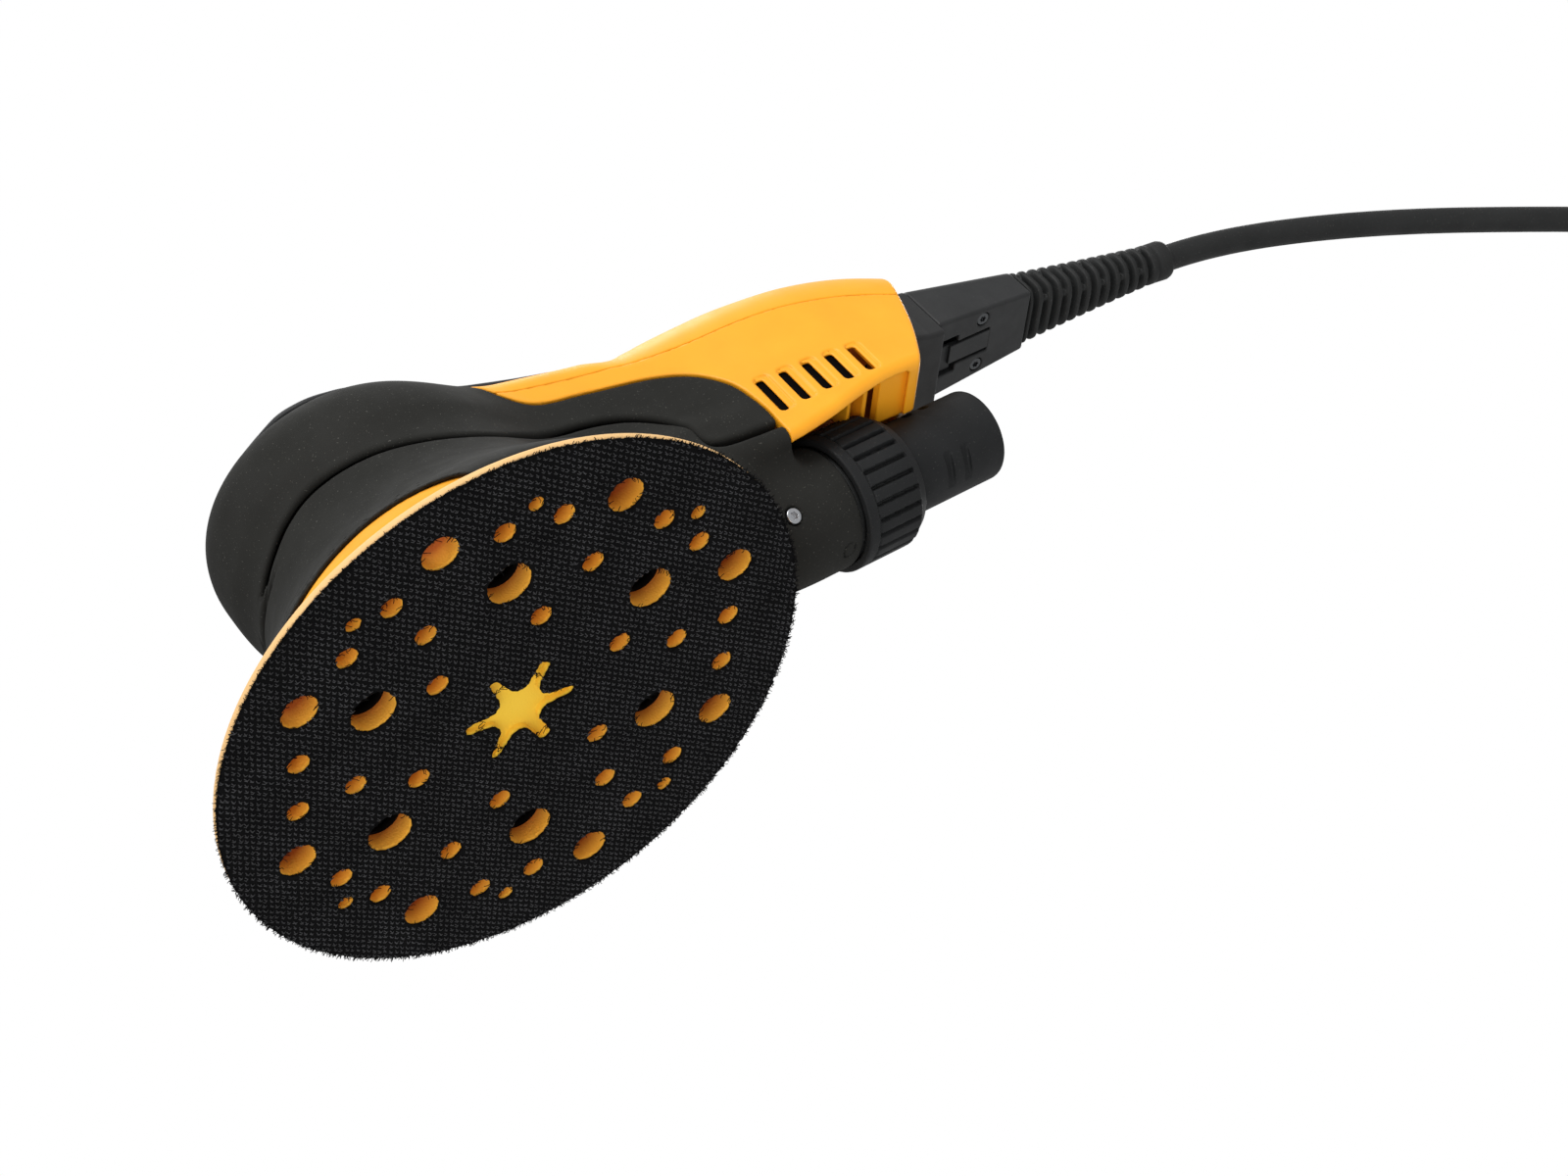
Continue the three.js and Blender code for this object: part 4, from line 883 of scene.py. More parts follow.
seal = rounded([(12.8, 99.8), (15.2, 99.8), (15.2, 101.2), (12.8, 101.2)], 0.5)
piece("port_seal_ring", "tool", *turned(seal, 64, on_port), RUBBER, ["port_seal"], "soft_rubber")
skirt_seal = [(53.6, 20), (54.6, 16), (51, 12.2), (48, 12.2), (51.6, 16), (51.4, 20)]
piece("brake_seal_lip", "tool", *turned(rounded(skirt_seal, 0.6), 96, on_z()), RUBBER, ["brake_seal"],
      "soft_rubber")


# ---------------------------------------------------------------- dust port collar and hose fitting
COLLAR_START, COLLAR_LENGTH, COLLAR_RADIUS = 100.4, 20.5, 17.9
RIBS = 26


def collar_field(x, y, z):
    station, rise = port_place(x, z)
    s = station - COLLAR_START
    away, turn = np.hypot(y, rise), np.degrees(np.arctan2(rise, y)) % (360 / RIBS)
    line = np.clip(1.3 - np.abs(turn - 2.6) / 1.9, 0, 1)
    ribbed = both(3.6 - s, s - 17.0)
    radius = COLLAR_RADIUS - np.where(ribbed < 0, 1.5 * line, 0)
    radius = radius - 0.45 * np.clip(1 - np.abs(s - 3.4) / 0.4, 0, 1)
    radius = radius - 0.5 * np.clip((s - 16.9) / 0.5, 0, 1) - 1.8 * np.clip((s - 17.4) / 3.1, 0, 1)
    shell = both(away - radius, np.maximum(-s, s - COLLAR_LENGTH), 0.5)
    bore = both(away - np.where(s < 14.3, 15.9, 12.7), -1 - s)
    return less(shell, bore, 0.25)


def port_box(stations, reach):
    """Corners of the box round a span of the port axis."""
    (x0, _, z0), (x1, _, z1) = (on_port(s, 0.0, 0.0) for s in stations)
    return (x0 - 2.5, -reach, z0 - reach), (x1 + 2.5, reach, z1 + reach)


carved("swivel_collar_skin", "collar", collar_field, *port_box((100, 121.2), 18.6), 0.42, BLACK,
       ["swivel_collar"], "black_plastic")
fitting_outline = rounded(
    [(101.5, 10), (101.5, 15.3), (104.2, 15.3), (104.7, 12.2), (151.5, 12.2), (151.5, 10)], 0.9
)
fitting_profile = outline_field(fitting_outline, 8, 0.25)
WINDOW_TURNS, WINDOW_STATIONS = (22, 142, 262), (132.8, 138.6)


def fitting_field(x, y, z):
    station, rise = port_place(x, z)
    shell = fitting_profile(station, np.hypot(y, rise))
    for turn in WINDOW_TURNS:
        cos, sin = math.cos(math.radians(turn)), math.sin(math.radians(turn))
        across, down = y * cos - rise * sin, y * sin + rise * cos
        for at in WINDOW_STATIONS:
            window = box_field(station, across, down, (at - 1.2, -5, -20), (at + 1.2, 5, -11), 0.6)
            shell = less(shell, window, 0.3)
    return shell


carved("hose_fitting_skin", "hose_fitting", fitting_field, *port_box((101, 152), 15.8), 0.42, BLACK,
       ["hose_fitting"], "black_plastic")


# ---------------------------------------------------------------- pad
HOLE_TURN = -65.8
RIM_RING = [0, 45, 90, 135, 180, 225, 270, 315]
# Rings of holes in the pad: ring radius, hole radius, angles; the first two go right through.
HOLE_RINGS = [
    (60, 4.5, RIM_RING),
    (40.7, 5.5, [30, 90, 150, 210, 270, 330]),
    (27.6, 2.7, [45, 105, 165, 225, 285, 345]),
    (41.8, 2.7, [0, 60, 120, 180, 240, 300]),
    (56, 2.7, [a + b for a in RIM_RING for b in (15, 30)]),
    (61, 1.9, [22.5, 112.5, 157.5, 202.5, 292.5, 337.5]),
]
STAR_CORE, STAR_TIP = 6.6, 14


def polar(radius, angle):
    return radius * math.cos(math.radians(angle)), radius * math.sin(math.radians(angle))


def pad_holes(rings=HOLE_RINGS):
    return [(*polar(ring, a + HOLE_TURN), size) for ring, size, angles in rings for a in angles]


def star_outline():
    points = []
    for arm in range(6):
        angle, spread = arm * 60 + 3 + HOLE_TURN, 4 if arm % 2 else 6
        points += [polar(STAR_CORE, angle - 16), polar(STAR_TIP, angle - spread)]
        points += [polar(STAR_TIP, angle + spread), polar(STAR_CORE, angle + 16)]
    return points


star_field = outline_field(rounded(star_outline(), 1.2, 3), 10, 0.25)


def ragged(x, y, size=0.12):
    """A fixed unevenness for the cut edges of the fabric."""
    return size * (np.sin(2.9 * x + 1.3 * np.sin(1.7 * y)) + np.sin(3.3 * y + 1.9 * np.sin(1.3 * x))) / 2


def fabric_plan(x, y):
    """Distance in the plane of the pad: negative on fabric."""
    plan = np.hypot(x, y) - PAD_RADIUS
    for cx, cy, size in pad_holes():
        plan = np.maximum(plan, size - np.hypot(x - cx, y - cy))
    return np.maximum(plan, -star_field(x, y)) + ragged(x, y)


def fabric_field(x, y, z):
    return both(fabric_plan(x - PAD_X, y), np.maximum(z - 1.0, 0.45 - z), 0.2)


def foam_field(x, y, z):
    x = x - PAD_X
    away = np.hypot(x, y)
    side = both(away - PAD_RADIUS + 0.1, (away - 74.7) * 0.63 + (z - 3) * 0.78, 0.5)
    body = both(side, np.maximum(1.02 - z, z - 8.8), 0.5)
    through = sum(len(angles) for _, _, angles in HOLE_RINGS[:2])
    for i, (cx, cy, size) in enumerate(pad_holes()):
        deep = -1.0 if i < through else z - 5.5
        body = less(body, np.maximum(np.hypot(x - cx, y - cy) - size, deep), 0.3)
    star = np.maximum(star_field(x, y), z - 3)
    stud = np.maximum(away - 12.3, 6.9 - z)
    return less(less(body, star, 0.3), stud)


carved("hook_fabric", "pad", fabric_field, (-79, -76.5, 0), (74, 76.5, 1.4), (0.62, 0.62, 0.28), HOOK,
       ["hook_face"], "hook_fabric")
carved("foam_disc", "pad", foam_field, (-79, -76.5, 0.4), (74, 76.5, 9.4), (0.8, 0.8, 0.6), FOAM,
           ["pad_foam"], "pad_foam")


def painted_shade_sleeves():
    """Black sleeves of painted shade in the upper part of the six dust holes."""
    points, faces = [], []
    outline = [(5.1, 6.2), (5.42, 6.2), (5.42, 8.7), (5.1, 8.7)]
    for angle in HOLE_RINGS[1][2]:
        cx, cy = polar(HOLE_RINGS[1][0], angle + HOLE_TURN)
        ring_points, ring_faces = turned(outline, 48, on_z(cx + PAD_X, cy))
        faces.append(ring_faces + sum(len(p) for p in points))
        points.append(ring_points)
    return np.concatenate(points), np.concatenate(faces)


piece("hole_shade_sleeves", "pad", *painted_shade_sleeves(), SHADE_LINER, slot="black_plastic")


# The hook face's knitted rows: how they are turned, their pitch, and the loops' heights.
ROW_TURN = math.radians(31.3)
ROW_PITCH, HOOK_PITCH = 1.486, 1.7
HOOK_FOOT, HOOK_TIP = 0.7, 0.06


def strands(paths, thickness):
    """Three-sided fibres along many short paths (fibre, point, xyz), with their quads."""
    paths = np.asarray(paths, float)
    count, steps = paths.shape[:2]
    run = np.gradient(paths, axis=1)
    side = np.stack([-run[..., 1], run[..., 0], np.zeros_like(run[..., 0])], -1)
    side /= np.maximum(np.linalg.norm(side, axis=-1, keepdims=True), 1e-6)
    up = np.cross(run, side)
    up /= np.maximum(np.linalg.norm(up, axis=-1, keepdims=True), 1e-6)
    thin = thickness * np.linspace(1, 0.8, steps)[None, :, None]
    around = [paths + thin * (math.cos(a) * side + math.sin(a) * up) for a in np.radians([90, 210, 330])]
    points = np.stack(around, 2).reshape(-1, 3)
    first = np.arange(count)[:, None] * steps * 3 + np.arange(steps - 1)[None] * 3
    quads = [
        np.stack([first + k, first + (k + 1) % 3, first + 3 + (k + 1) % 3, first + 3 + k], -1).reshape(-1, 4)
        for k in range(3)
    ]
    return points, np.concatenate(quads)


# A stitch's fibres as points: along the row, across it, and height above the ground.
STITCH_FIBRES = [
    [(-0.72, -0.34, HOOK_FOOT), (-0.1, -0.16, HOOK_TIP), (0.6, 0.3, HOOK_FOOT - 0.2)],
    [(-0.5, 0.38, HOOK_FOOT), (0.15, 0.1, HOOK_TIP + 0.05), (0.74, -0.28, HOOK_FOOT - 0.15)],
]


def hook_rows(chance):
    """The knitted rows of the hook face: two crossed loops a stitch."""
    u, v = np.meshgrid(np.arange(-76, 76, HOOK_PITCH), np.arange(-76, 76, ROW_PITCH))
    u = u + HOOK_PITCH * 0.5 * (np.arange(len(v)) % 2)[:, None] + chance.normal(0, 0.1, u.shape)
    v = v + chance.normal(0, 0.06, v.shape)
    x = u * math.cos(ROW_TURN) - v * math.sin(ROW_TURN)
    y = u * math.sin(ROW_TURN) + v * math.cos(ROW_TURN)
    on = fabric_plan(x, y) < -0.35
    x, y = x[on], y[on]
    along_row = np.array([math.cos(ROW_TURN), math.sin(ROW_TURN)])
    across = np.array([-along_row[1], along_row[0]])
    paths = []
    for steps in STITCH_FIBRES:
        wander = chance.normal(0, 0.12, (len(x), 2, len(steps)))
        lift = np.abs(chance.normal(0, 0.07, (len(x), len(steps))))
        path = np.zeros((len(x), len(steps), 3))
        for i, (r, a, z) in enumerate(steps):
            shift = (r + wander[:, 0, i])[:, None] * along_row + (a + wander[:, 1, i])[:, None] * across
            path[:, i, 0] = x + PAD_X + shift[:, 0]
            path[:, i, 1] = y + shift[:, 1]
            path[:, i, 2] = z + lift[:, i]
        paths.append(path)
    return strands(np.concatenate(paths), 0.14)


def edge_fuzz(chance):
    """Loose fibres that cross the holes' edges and fringe the rim."""
    paths = []
    for cx, cy, size in pad_holes() + [(0, 0, STAR_TIP * 0.75)]:
        for _ in range(int(size * 11)):
            angle = chance.uniform(0, 2 * math.pi)
            turn = angle + math.pi / 2 + chance.normal(0, 0.7)
            start = np.array([cx + (size + 0.3) * math.cos(angle), cy + (size + 0.3) * math.sin(angle)])
            paths.append(fibre(chance, start, turn, chance.uniform(0.7, 2.2)))
    for _ in range(2600):
        angle = chance.uniform(0, 2 * math.pi)
        start = (PAD_RADIUS - 0.4) * np.array([math.cos(angle), math.sin(angle)])
        paths.append(fibre(chance, start, angle + chance.normal(0, 0.9), chance.uniform(0.5, 1.5)))
    return strands(paths, 0.11)


def fibre(chance, start, turn, length, points=4):
    path = [np.array([start[0] + PAD_X, start[1], 0.6])]
    for _ in range(points - 1):
        turn += chance.normal(0, 0.45)
        height = np.clip(path[-1][2] + chance.normal(-0.05, 0.12), 0.08, 0.9)
        step = length / (points - 1)
        x, y = path[-1][0] + step * math.cos(turn), path[-1][1] + step * math.sin(turn)
        path.append(np.array([x, y, height]))
    return path


chance = np.random.default_rng(11)
piece("hook_rows", "pad", *hook_rows(chance), GLINT_LOOPS, slot="hook_fabric")
piece("edge_fuzz", "pad", *edge_fuzz(chance), HOOK, slot="hook_fabric")


# ---------------------------------------------------------------- lever and keypad
LEVER_PLAN = [
    (-33, 9), (-30, 15.5), (-25, 20.6), (-18, 26.4), (-10, 28.4), (0, 28), (15, 23.6), (30, 18.4), (46, 16),
    (58, 14.6), (64, 13.2), (66.5, 10.5),
]
LEVER_EDGE = [(-33, 91.6), (-26, 92), (-16, 92.6), (0, 92.8), (15, 92.5), (30, 91.6), (46, 90.7), (66.5, 90)]
LEVER_CROWN = [(-33, 0.4), (-16, 2), (0, 2.4), (30, 2.2), (66.5, 1.2)]
LEVER_THICKNESS = 2.0
lever_plan = np.array(LEVER_PLAN, float)
lever_outline = outline_field(
    rounded(np.concatenate([lever_plan, lever_plan[::-1] * (1, -1)]), 3, 4), 10, 0.4
)


def lever_field(x, y, z):
    share = np.clip(y / along(LEVER_PLAN, x), -1, 1)
    top = along(LEVER_EDGE, x) + along(LEVER_CROWN, x) * (1 - share**2)
    plate = both(lever_outline(x, y), np.abs(z - top + LEVER_THICKNESS / 2) - LEVER_THICKNESS / 2, 1.0)
    boss = box_field(x, y, z, (-28, -11, 82.2), (-22, 11, 91.5), 0.8)
    pin = np.hypot(x - LEVER_PIVOT[0], z - LEVER_PIVOT[1]) - 1.8
    return less(np.minimum(plate, boss), pin, 0.2)


carved("lever_plate", "lever", lever_field, (-34.5, -29.6, 81.4), (68, 29.6, 96.4), 0.55, SATIN,
       ["lever"], "black_plastic")


def spring_path(x, low, high, radius, turns=4, steps=20):
    t = np.linspace(0, 1, turns * steps + 1)
    angle = 2 * math.pi * turns * t
    return np.stack([x + radius * np.cos(angle), radius * np.sin(angle), low + (high - low) * t], -1)


def tube(path, radius, sides=8):
    """Rings round a path, kept square to it."""
    path = np.asarray(path, float)
    run = np.gradient(path, axis=0)
    run /= np.linalg.norm(run, axis=1, keepdims=True)
    side = np.cross(run, (0, 0, 1.0))
    side /= np.maximum(np.linalg.norm(side, axis=1, keepdims=True), 1e-6)
    up = np.cross(side, run)
    angles = np.arange(sides) * 2 * math.pi / sides
    return lofted([p + radius * (np.cos(angles)[:, None] * s + np.sin(angles)[:, None] * u)
                   for p, s, u in zip(path, side, up)])


SPRING_X, SPRING_LOW, SPRING_HIGH = 46, 85.1, 89.6
spring = piece("lever_coil_spring", "tool", *tube(spring_path(SPRING_X, SPRING_LOW, SPRING_HIGH, 3.2), 0.42),
               STEEL, ["lever_spring"], "steel")
to_frame((SPRING_X, 0, SPRING_LOW))
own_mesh(spring)

BUTTONS = {"minus_button": (-11, 3.6), "power_button": (0, 4.2), "plus_button": (11, 3.6)}
LED_OFFSET = -15.4


def bezel_field(x, y, z):
    x = x - KEYPAD_X
    plate = both(flat_rounded(x, y, 35, 15, 4.7), np.maximum(z - 92.4, KEYPAD_FLOOR + 0.3 - z), 0.5)
    for at, radius in BUTTONS.values():
        plate = less(plate, np.hypot(x - at, y) - radius - 0.35, 0.3)
    return less(plate, np.hypot(x - LED_OFFSET, y) - 1.1, 0.2)


def button_field(name, at, radius):
    """A dished key with a plain raised sign."""

    def sign(x, y):
        if name == "power_button":
            ring = np.abs(np.hypot(x, y) - 1.5) - 0.22
            gap = np.maximum(np.abs(y) - 0.55, -x)
            stroke = np.maximum(np.abs(y) - 0.2, np.abs(x - 1.3) - 0.8)
            return np.minimum(np.maximum(ring, -gap), stroke)
        bar = np.maximum(np.abs(y) - 1.5, np.abs(x) - 0.24)
        upright = np.maximum(np.abs(x) - 1.5, np.abs(y) - 0.24)
        return np.minimum(bar, upright) if name == "plus_button" else bar

    def field(x, y, z):
        x = x - KEYPAD_X - at
        away = np.hypot(x, y)
        top = 93.15 + 0.3 * np.clip(away / radius, 0, 1) ** 2
        key = both(away - radius, np.maximum(z - top, 90.8 - z), 0.5)
        raised = np.maximum(np.maximum(sign(x, y), z - 93.42), 92 - z)
        return np.minimum(key, raised)

    return field


carved("keypad_frame", "tool", bezel_field, (KEYPAD_X - 18.2, -8.2, 89.6), (KEYPAD_X + 18.2, 8.2, 93), 0.33,
       BLACK, ["keypad_bezel"], "black_plastic")
for name, (at, radius) in BUTTONS.items():
    r = radius + 0.5
    carved(name + "_key", name, button_field(name, at, radius), (KEYPAD_X + at - r, -r, 90.3),
           (KEYPAD_X + at + r, r, 94), 0.2, RUBBER, [name], "soft_rubber")
lens = [(0, 90.2), (0.8, 90.2), (0.8, 92.3), (0.55, 92.6), (0, 92.7)]
piece("status_lens", "tool", *turned(lens, 24, on_z(KEYPAD_X + LED_OFFSET), closed=False), LENS,
      ["status_led"], "led_lens")


# ---------------------------------------------------------------- mains connector
CORD_Z = 73.6
CONNECTOR_START, CONNECTOR_END = 159, 193
CONNECTOR_HALF, CONNECTOR_BOTTOM, CONNECTOR_TOP = (12.6, 9.6), (63.8, 67.6), (82, 79.8)
LATCH_PIVOT_X, CONNECTOR_SCREW_X = 178, 175.5


def taper(pair, x):
    share = (x - CONNECTOR_START) / (CONNECTOR_END - CONNECTOR_START)
    return pair[0] + (pair[1] - pair[0]) * share


def connector_section(x, y, z, grow=0.0):
    half, low, top = (taper(p, x) for p in (CONNECTOR_HALF, CONNECTOR_BOTTOM, CONNECTOR_TOP))
    return rounded_section(y, z, half + grow, low - grow, top + grow, 3.4, 1.0)


def connector_field(x, y, z):
    body = both(connector_section(x, y, z), np.maximum(CONNECTOR_START - x, x - CONNECTOR_END), 0.9)
    ends = np.maximum(CONNECTOR_START - x, x - CONNECTOR_END - 0.2)
    collar = both(connector_section(x, y, z, -0.9), ends, 0.3)
    nose = box_field(x, y, z, (147, -8.7, 67.3), (160, 8.7, 79.3), 0.6)
    body = np.minimum(np.minimum(body, collar), nose)
    for side in (-1, 1):
        seat = np.maximum(np.hypot(x - CONNECTOR_SCREW_X, y - side * 7.6) - 2.1, z - 67.4)
        pin = np.maximum(np.hypot(y - side * 4.5, z - CORD_Z + 0.3) - 1.5, x - 157)
        body = less(less(body, seat, 0.35), pin)
    tongue_space = box_field(x, y, z, (150, -3.9, 50), (178.6, 3.9, 69.6), 0.3)
    thumb_space = box_field(x, y, z, (144, -6, 50), (167, 6, 67.2), 0.4)
    return less(less(body, tongue_space, 0.3), thumb_space, 0.3)


def latch_field(x, y, z):
    low = taper(CONNECTOR_BOTTOM, x)
    tongue = box_field(x, y, z - low, (164.5, -2.9, 0.1), (LATCH_PIVOT_X + 0.9, 2.9, 1.9), 0.15)
    thumb = box_field(x, y, z - low, (159.9, -2.9, 1.0), (166, 5.2, 2.2), 0.4)
    return np.minimum(tongue, thumb)


carved("connector_shell", "connector", connector_field, (146, -13.4, 62.8), (194.2, 13.4, 83), 0.42, SATIN,
       ["connector_body"], "black_plastic")
carved("connector_latch_tongue", "latch", latch_field, (158.8, -6, 62.4), (179.4, 6, 68.6), 0.25, SATIN,
       ["connector_latch"], "black_plastic")


def connector_screw_place(side):
    return lambda p: np.stack([CONNECTOR_SCREW_X + p[:, 0], side * 7.6 - p[:, 1], 83 - p[:, 2]], -1)


for name, side in (("left", -1), ("right", 1)):
    screw("connector_screw_head_" + name, "connector", 1.9, 15.9, 17.1, connector_screw_place(side),
          "connector_screw_" + name, 0.11, DARK_STEEL)


def socket_field(x, y, z):
    lip = np.clip((x - 150) / 4, 0, 1)
    half, low, top = 13.7 - 0.9 * lip, 62.9 - 2.2 * np.clip((x - 145.5) / 1.5, 0, 1), 81.7
    frame_ = both(rounded_section(y, z, half, low, top, 3.0, 1.2), np.maximum(138 - x, x - 158.7), 0.6)
    return less(frame_, box_field(x, y, z, (145, -9, 67), (175, 9, 79.6), 0.5), 0.4)


carved("socket_surround", "tool", socket_field, (137, -14.4, 60), (159.6, 14.4, 82.6), 0.42, SATIN,
       ["socket_frame"], "black_plastic")

RELIEF_START, RELIEF_END, RELIEF_RIBBED, RELIEF_RIBS = 193.3, 246.0, 45.0, 13


def relief_rings(around=48):
    """Boxy where the boot leaves the connector, round where the cord comes out."""
    pitch = RELIEF_RIBBED / RELIEF_RIBS
    angles = (np.arange(around) + 0.5) * 2 * math.pi / around
    rings = []

    def ring_at(x, sunk):
        t = min((x - RELIEF_START) / RELIEF_RIBBED, 1)
        power = 0.42 + 0.58 * t
        half, rise = 9.4 - 3.8 * t - sunk, 6.1 - 0.5 * t - sunk
        c, s = np.cos(angles), np.sin(angles)
        y = half * np.sign(c) * np.abs(c) ** power
        z = rise * np.sign(s) * np.abs(s) ** power
        rings.append(np.stack([np.full(around, x), y, CORD_Z + z], -1))

    ring_at(RELIEF_START, 0.4)
    ring_at(RELIEF_START + 0.3, 0.05)
    for i in range(RELIEF_RIBS):
        x = RELIEF_START + i * pitch
        web = np.clip(np.cos(2 * angles + math.pi * i + 0.9) * 12 - 10.6, 0, 1)
        for share, sunk in ((0.22, 0), (0.33, 0.4), (0.4, 1.5), (0.44, 2.7), (0.78, 2.7), (0.82, 1.5),
                            (0.89, 0.4), (0.98, 0)):
            ring_at(x + share * pitch, np.where(web > 0, sunk * (1 - 0.75 * web), sunk))
    end_rings = [
        (RELIEF_START + 46.4, 0), (RELIEF_START + 47, 0.5), (RELIEF_START + 47.5, 0.05),
        (RELIEF_END - 1.6, 0), (RELIEF_END - 0.7, 0.3), (RELIEF_END - 0.15, 1.0), (RELIEF_END, 1.7),
    ]
    for x, sunk in end_rings:
        ring_at(x, sunk)
    return rings


piece("relief_boot", "connector", *lofted(relief_rings()), RUBBER, ["strain_relief"], "soft_rubber")


# ---------------------------------------------------------------- plug
PLUG_PLACE = (447.2, -68, 13)
PLUG_BOOT, PLUG_LENGTH, PIN_SPACING = 20, 34, 19


def on_plug(s, a, b):
    """Station along the plug from its boot, a across and b up."""
    return np.stack([PLUG_PLACE[0] - s, PLUG_PLACE[1] - a, PLUG_PLACE[2] + b], -1)


def plug_field(x, y, z):
    s, a, b = PLUG_PLACE[0] - x - PLUG_BOOT - 0.3, y - PLUG_PLACE[1], z - PLUG_PLACE[2]
    half = along([(0, 9.5), (5, 13), (20, 17.2), (34, 17.6)], s)
    rise = along([(0, 9.5), (5, 11.4), (20, 13), (34, 13)], s)
    finger = np.clip(1 - np.abs((s - 6) % 3 - 1.5) / 0.6, 0, 1) * ((s > 6) & (s < 18))
    body = rounded_section(a, b, half - 0.5 * finger, -rise, rise, 7.6, 7.6)
    body = both(body, np.maximum(-s, s - PLUG_LENGTH), 1.2)
    seam = np.maximum(np.abs(b) - 0.18, -body - 0.35)
    return less(body, seam, 0.15)


carved("plug_shell", "connector", plug_field, (391.8, -86.4, -0.9), (427.8, -49.6, 26.9), 0.75, RUBBER,
       ["plug_body"], "soft_rubber")
boot_profile = [(3.9, 0), (5, 0.5)]
for i in range(7):
    s, r = 1.6 + i * 2.5, 5.05 + i * 0.31
    boot_profile += [(r, s), (r - 0.9, s + 0.4), (r - 0.9, s + 1.0), (r + 0.1, s + 1.4)]
boot_profile = [(0, 0)] + boot_profile + [(7.4, 19.4), (7.2, PLUG_BOOT), (0, PLUG_BOOT)]
piece("plug_relief", "connector", *turned(boot_profile, 32, on_plug, closed=False), RUBBER, ["plug_boot"],
      "soft_rubber")
for name, side in (("left", -1), ("right", 1)):
    start = PLUG_BOOT + PLUG_LENGTH + 0.6
    pin = [(0, start), (2.4, start), (2.4, start + 17.2), (1.5, start + 19), (0, start + 19)]
    pin = rounded(pin, 0.8, 3, False)

    def pin_place(s, a, b, side=side):
        return on_plug(s, a - side * PIN_SPACING / 2, b)

    piece("plug_contact_" + name, "connector", *turned(pin, 32, pin_place, closed=False), BRASS,
          ["plug_pin_" + name], "brass")


# ---------------------------------------------------------------- mains cord
CORD_DIAMETER = 7.5
CORD_ROUTE = [
    (246.3, 0, 73.6), (254, 0, 73.5), (264, 0, 72.7), (276, 0, 70.8), (288, 0, 68), (300, 0, 64.6),
    (312, 0, 60.6), (324, 0, 56.1), (336, 0, 51.1), (348, 0, 45.7), (360, 0, 40.1), (372, 0, 34.3),
    (384, 0, 28.6), (396, 0, 23), (408, 0, 17.8), (420, 0, 13.2), (432, 0, 9.6), (443, 0, 7), (453, 0, 5.5),
]
TAIL_ROUTE = [
    (472, 0, 27.3), (482, -0.6, 26), (492, -3.3, 23.5), (501, -8.6, 20), (508, -16, 16), (512.5, -25, 12.2),
    (514, -34.5, 8.8), (512.4, -44, 6.2), (507.6, -52.8, 4.6), (500.2, -60, 3.8), (491, -65.2, 3.8),
    (481, -67.7, 4.8), (471, -68, 7.4), (462, -68, 10.4), (453.5, -68, 12.5), (447.5, -68, 13),
]
CORD_RADIUS = CORD_DIAMETER / 2
COIL_X, COIL_Y, COIL_LIFT = 462, 56.5, 1.3
COIL_INNER, COIL_LAYERS, LAYER_TURNS, CLIMB = 31.5, 4, 3.5, 1 / 6
COIL_OUTER = COIL_INNER + (LAYER_TURNS - CLIMB) * CORD_DIAMETER


def coil_points(per_turn=32):
    """Turns that wind in and out by layers, each beside the last, climbing a diameter a layer."""
    points = []
    for k in range(int(COIL_LAYERS * LAYER_TURNS * per_turn) + 1):
        turn = k / per_turn
        layer = min(int(turn / LAYER_TURNS), COIL_LAYERS - 1)
        done = turn - layer * LAYER_TURNS
        share = max(done - CLIMB, 0) / (LAYER_TURNS - CLIMB)
        share = 1 - share if layer % 2 == 0 else share
        radius = COIL_INNER + (COIL_OUTER - COIL_INNER) * share
        risen = min(done / CLIMB, 1) - 1 if layer else 0
        angle = 2 * math.pi * turn - math.pi / 2
        points.append((COIL_X + radius * math.cos(angle), COIL_Y + radius * math.sin(angle),
                       COIL_LIFT + CORD_DIAMETER * (0.5 + layer + risen)))
    return points


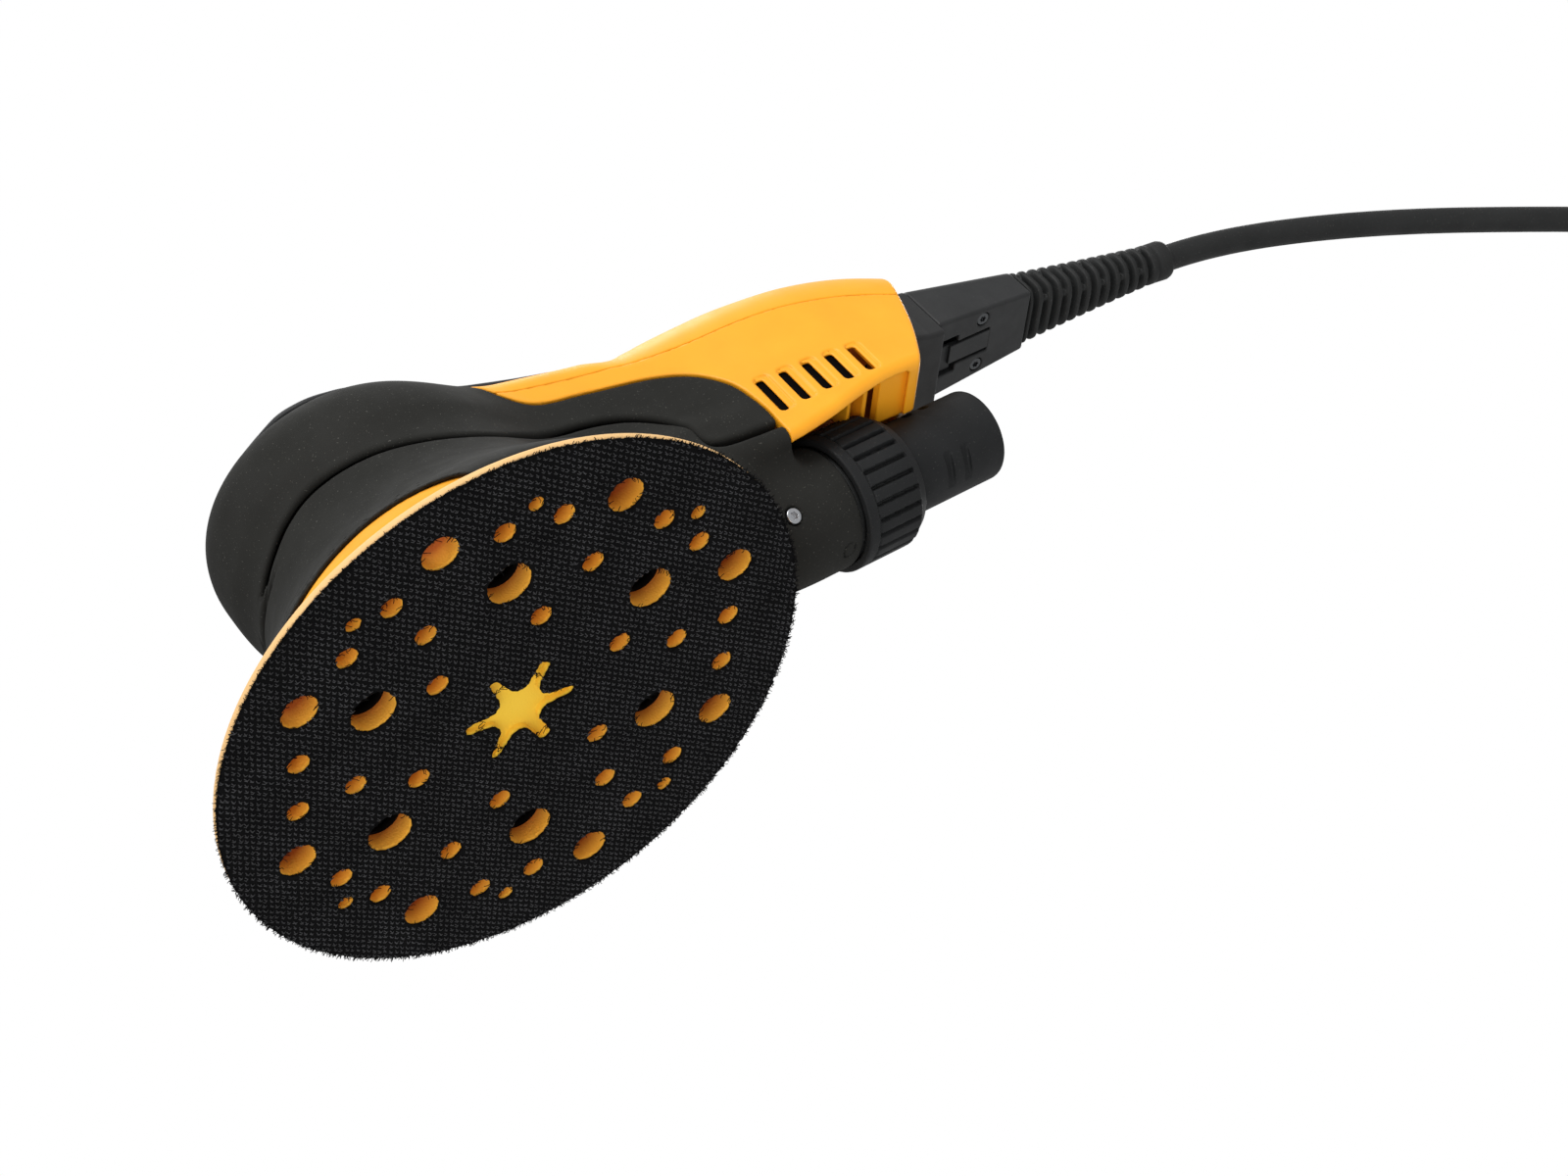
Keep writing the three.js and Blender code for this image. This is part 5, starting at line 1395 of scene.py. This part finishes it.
def make_cord():
    curve = bpy.data.curves.new("mains_cord", "CURVE")
    curve.dimensions = "3D"
    curve.resolution_u = 3
    curve.bevel_depth = CORD_RADIUS * MM
    curve.bevel_resolution = 5
    curve.use_fill_caps = True
    points = to_frame(CORD_ROUTE + coil_points() + TAIL_ROUTE)
    spline = curve.splines.new("BEZIER")
    spline.bezier_points.add(len(points) - 1)
    for knot, place in zip(spline.bezier_points, points):
        knot.co = place
        knot.handle_left_type = knot.handle_right_type = "AUTO"
    made = bpy.data.objects.new("mains_cord", curve)
    scene.collection.objects.link(made)
    curve.materials.append(RUBBER)
    return placed(made, "connector", ["cord_tube", "cord_coil", "cord_tail"], "soft_rubber")


def coil_tie():
    """A flat strap round the coil."""
    width, thick = 14, 1.0
    inner = (COIL_INNER - CORD_RADIUS - 0.1, COIL_LIFT - 0.15)
    outer = (COIL_OUTER + CORD_RADIUS + 0.1, COIL_LIFT + COIL_LAYERS * CORD_DIAMETER + 0.1)
    corners = [(inner[0], inner[1]), (outer[0], inner[1]), (outer[0], outer[1]), (inner[0], outer[1])]
    line = rounded(corners, 4, 5)
    middle = line.mean(0)
    left, right = COIL_X - width / 2, COIL_X + width / 2
    rings = []
    for r, z in line:
        out = np.array([r, z]) - middle
        out = np.sign(out) * thick
        near, far = np.array([r, z]), np.array([r, z]) + out * (0.9, 0.9)
        rings.append([(left, COIL_Y + near[0], near[1]), (left, COIL_Y + far[0], far[1]),
                      (right, COIL_Y + far[0], far[1]), (right, COIL_Y + near[0], near[1])])
    return piece("coil_strap", "connector", *lofted(rings, closed=True), BLACK, ["coil_tie"], "black_plastic",
                 smooth=False)


cord = make_cord()
strap = coil_tie()
to_frame(CORD_ROUTE[0])


# ---------------------------------------------------------------- carried-over nodes and the end
KEPT_NODES = {
    STEEL: ["pad_stud", "pad_spindle", "spindle_bearing_lower", "spindle_bearing_upper", "motor_shaft",
            "rotor_magnet_ring", "lower_bearing", "upper_bearing", "stator_core", "lever_pin"],
    ALUMINIUM: ["eccentric_housing", "rotor_core", "motor_bracket", "motor_can", "board_heatsink"],
    BRASS: ["counterweight", "socket_pin_left", "socket_pin_right"],
    COPPER: ["winding_lower", "winding_upper"],
    BLACK: ["pad_plate", "cooling_fan", "capacitor_left", "capacitor_right"],
    BOARD: ["controller_board"],
    ORANGE: ["intake_grille"],
}
for material, names in KEPT_NODES.items():
    for name in names:
        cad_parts[name].data.materials.clear()
        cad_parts[name].data.materials.append(material)
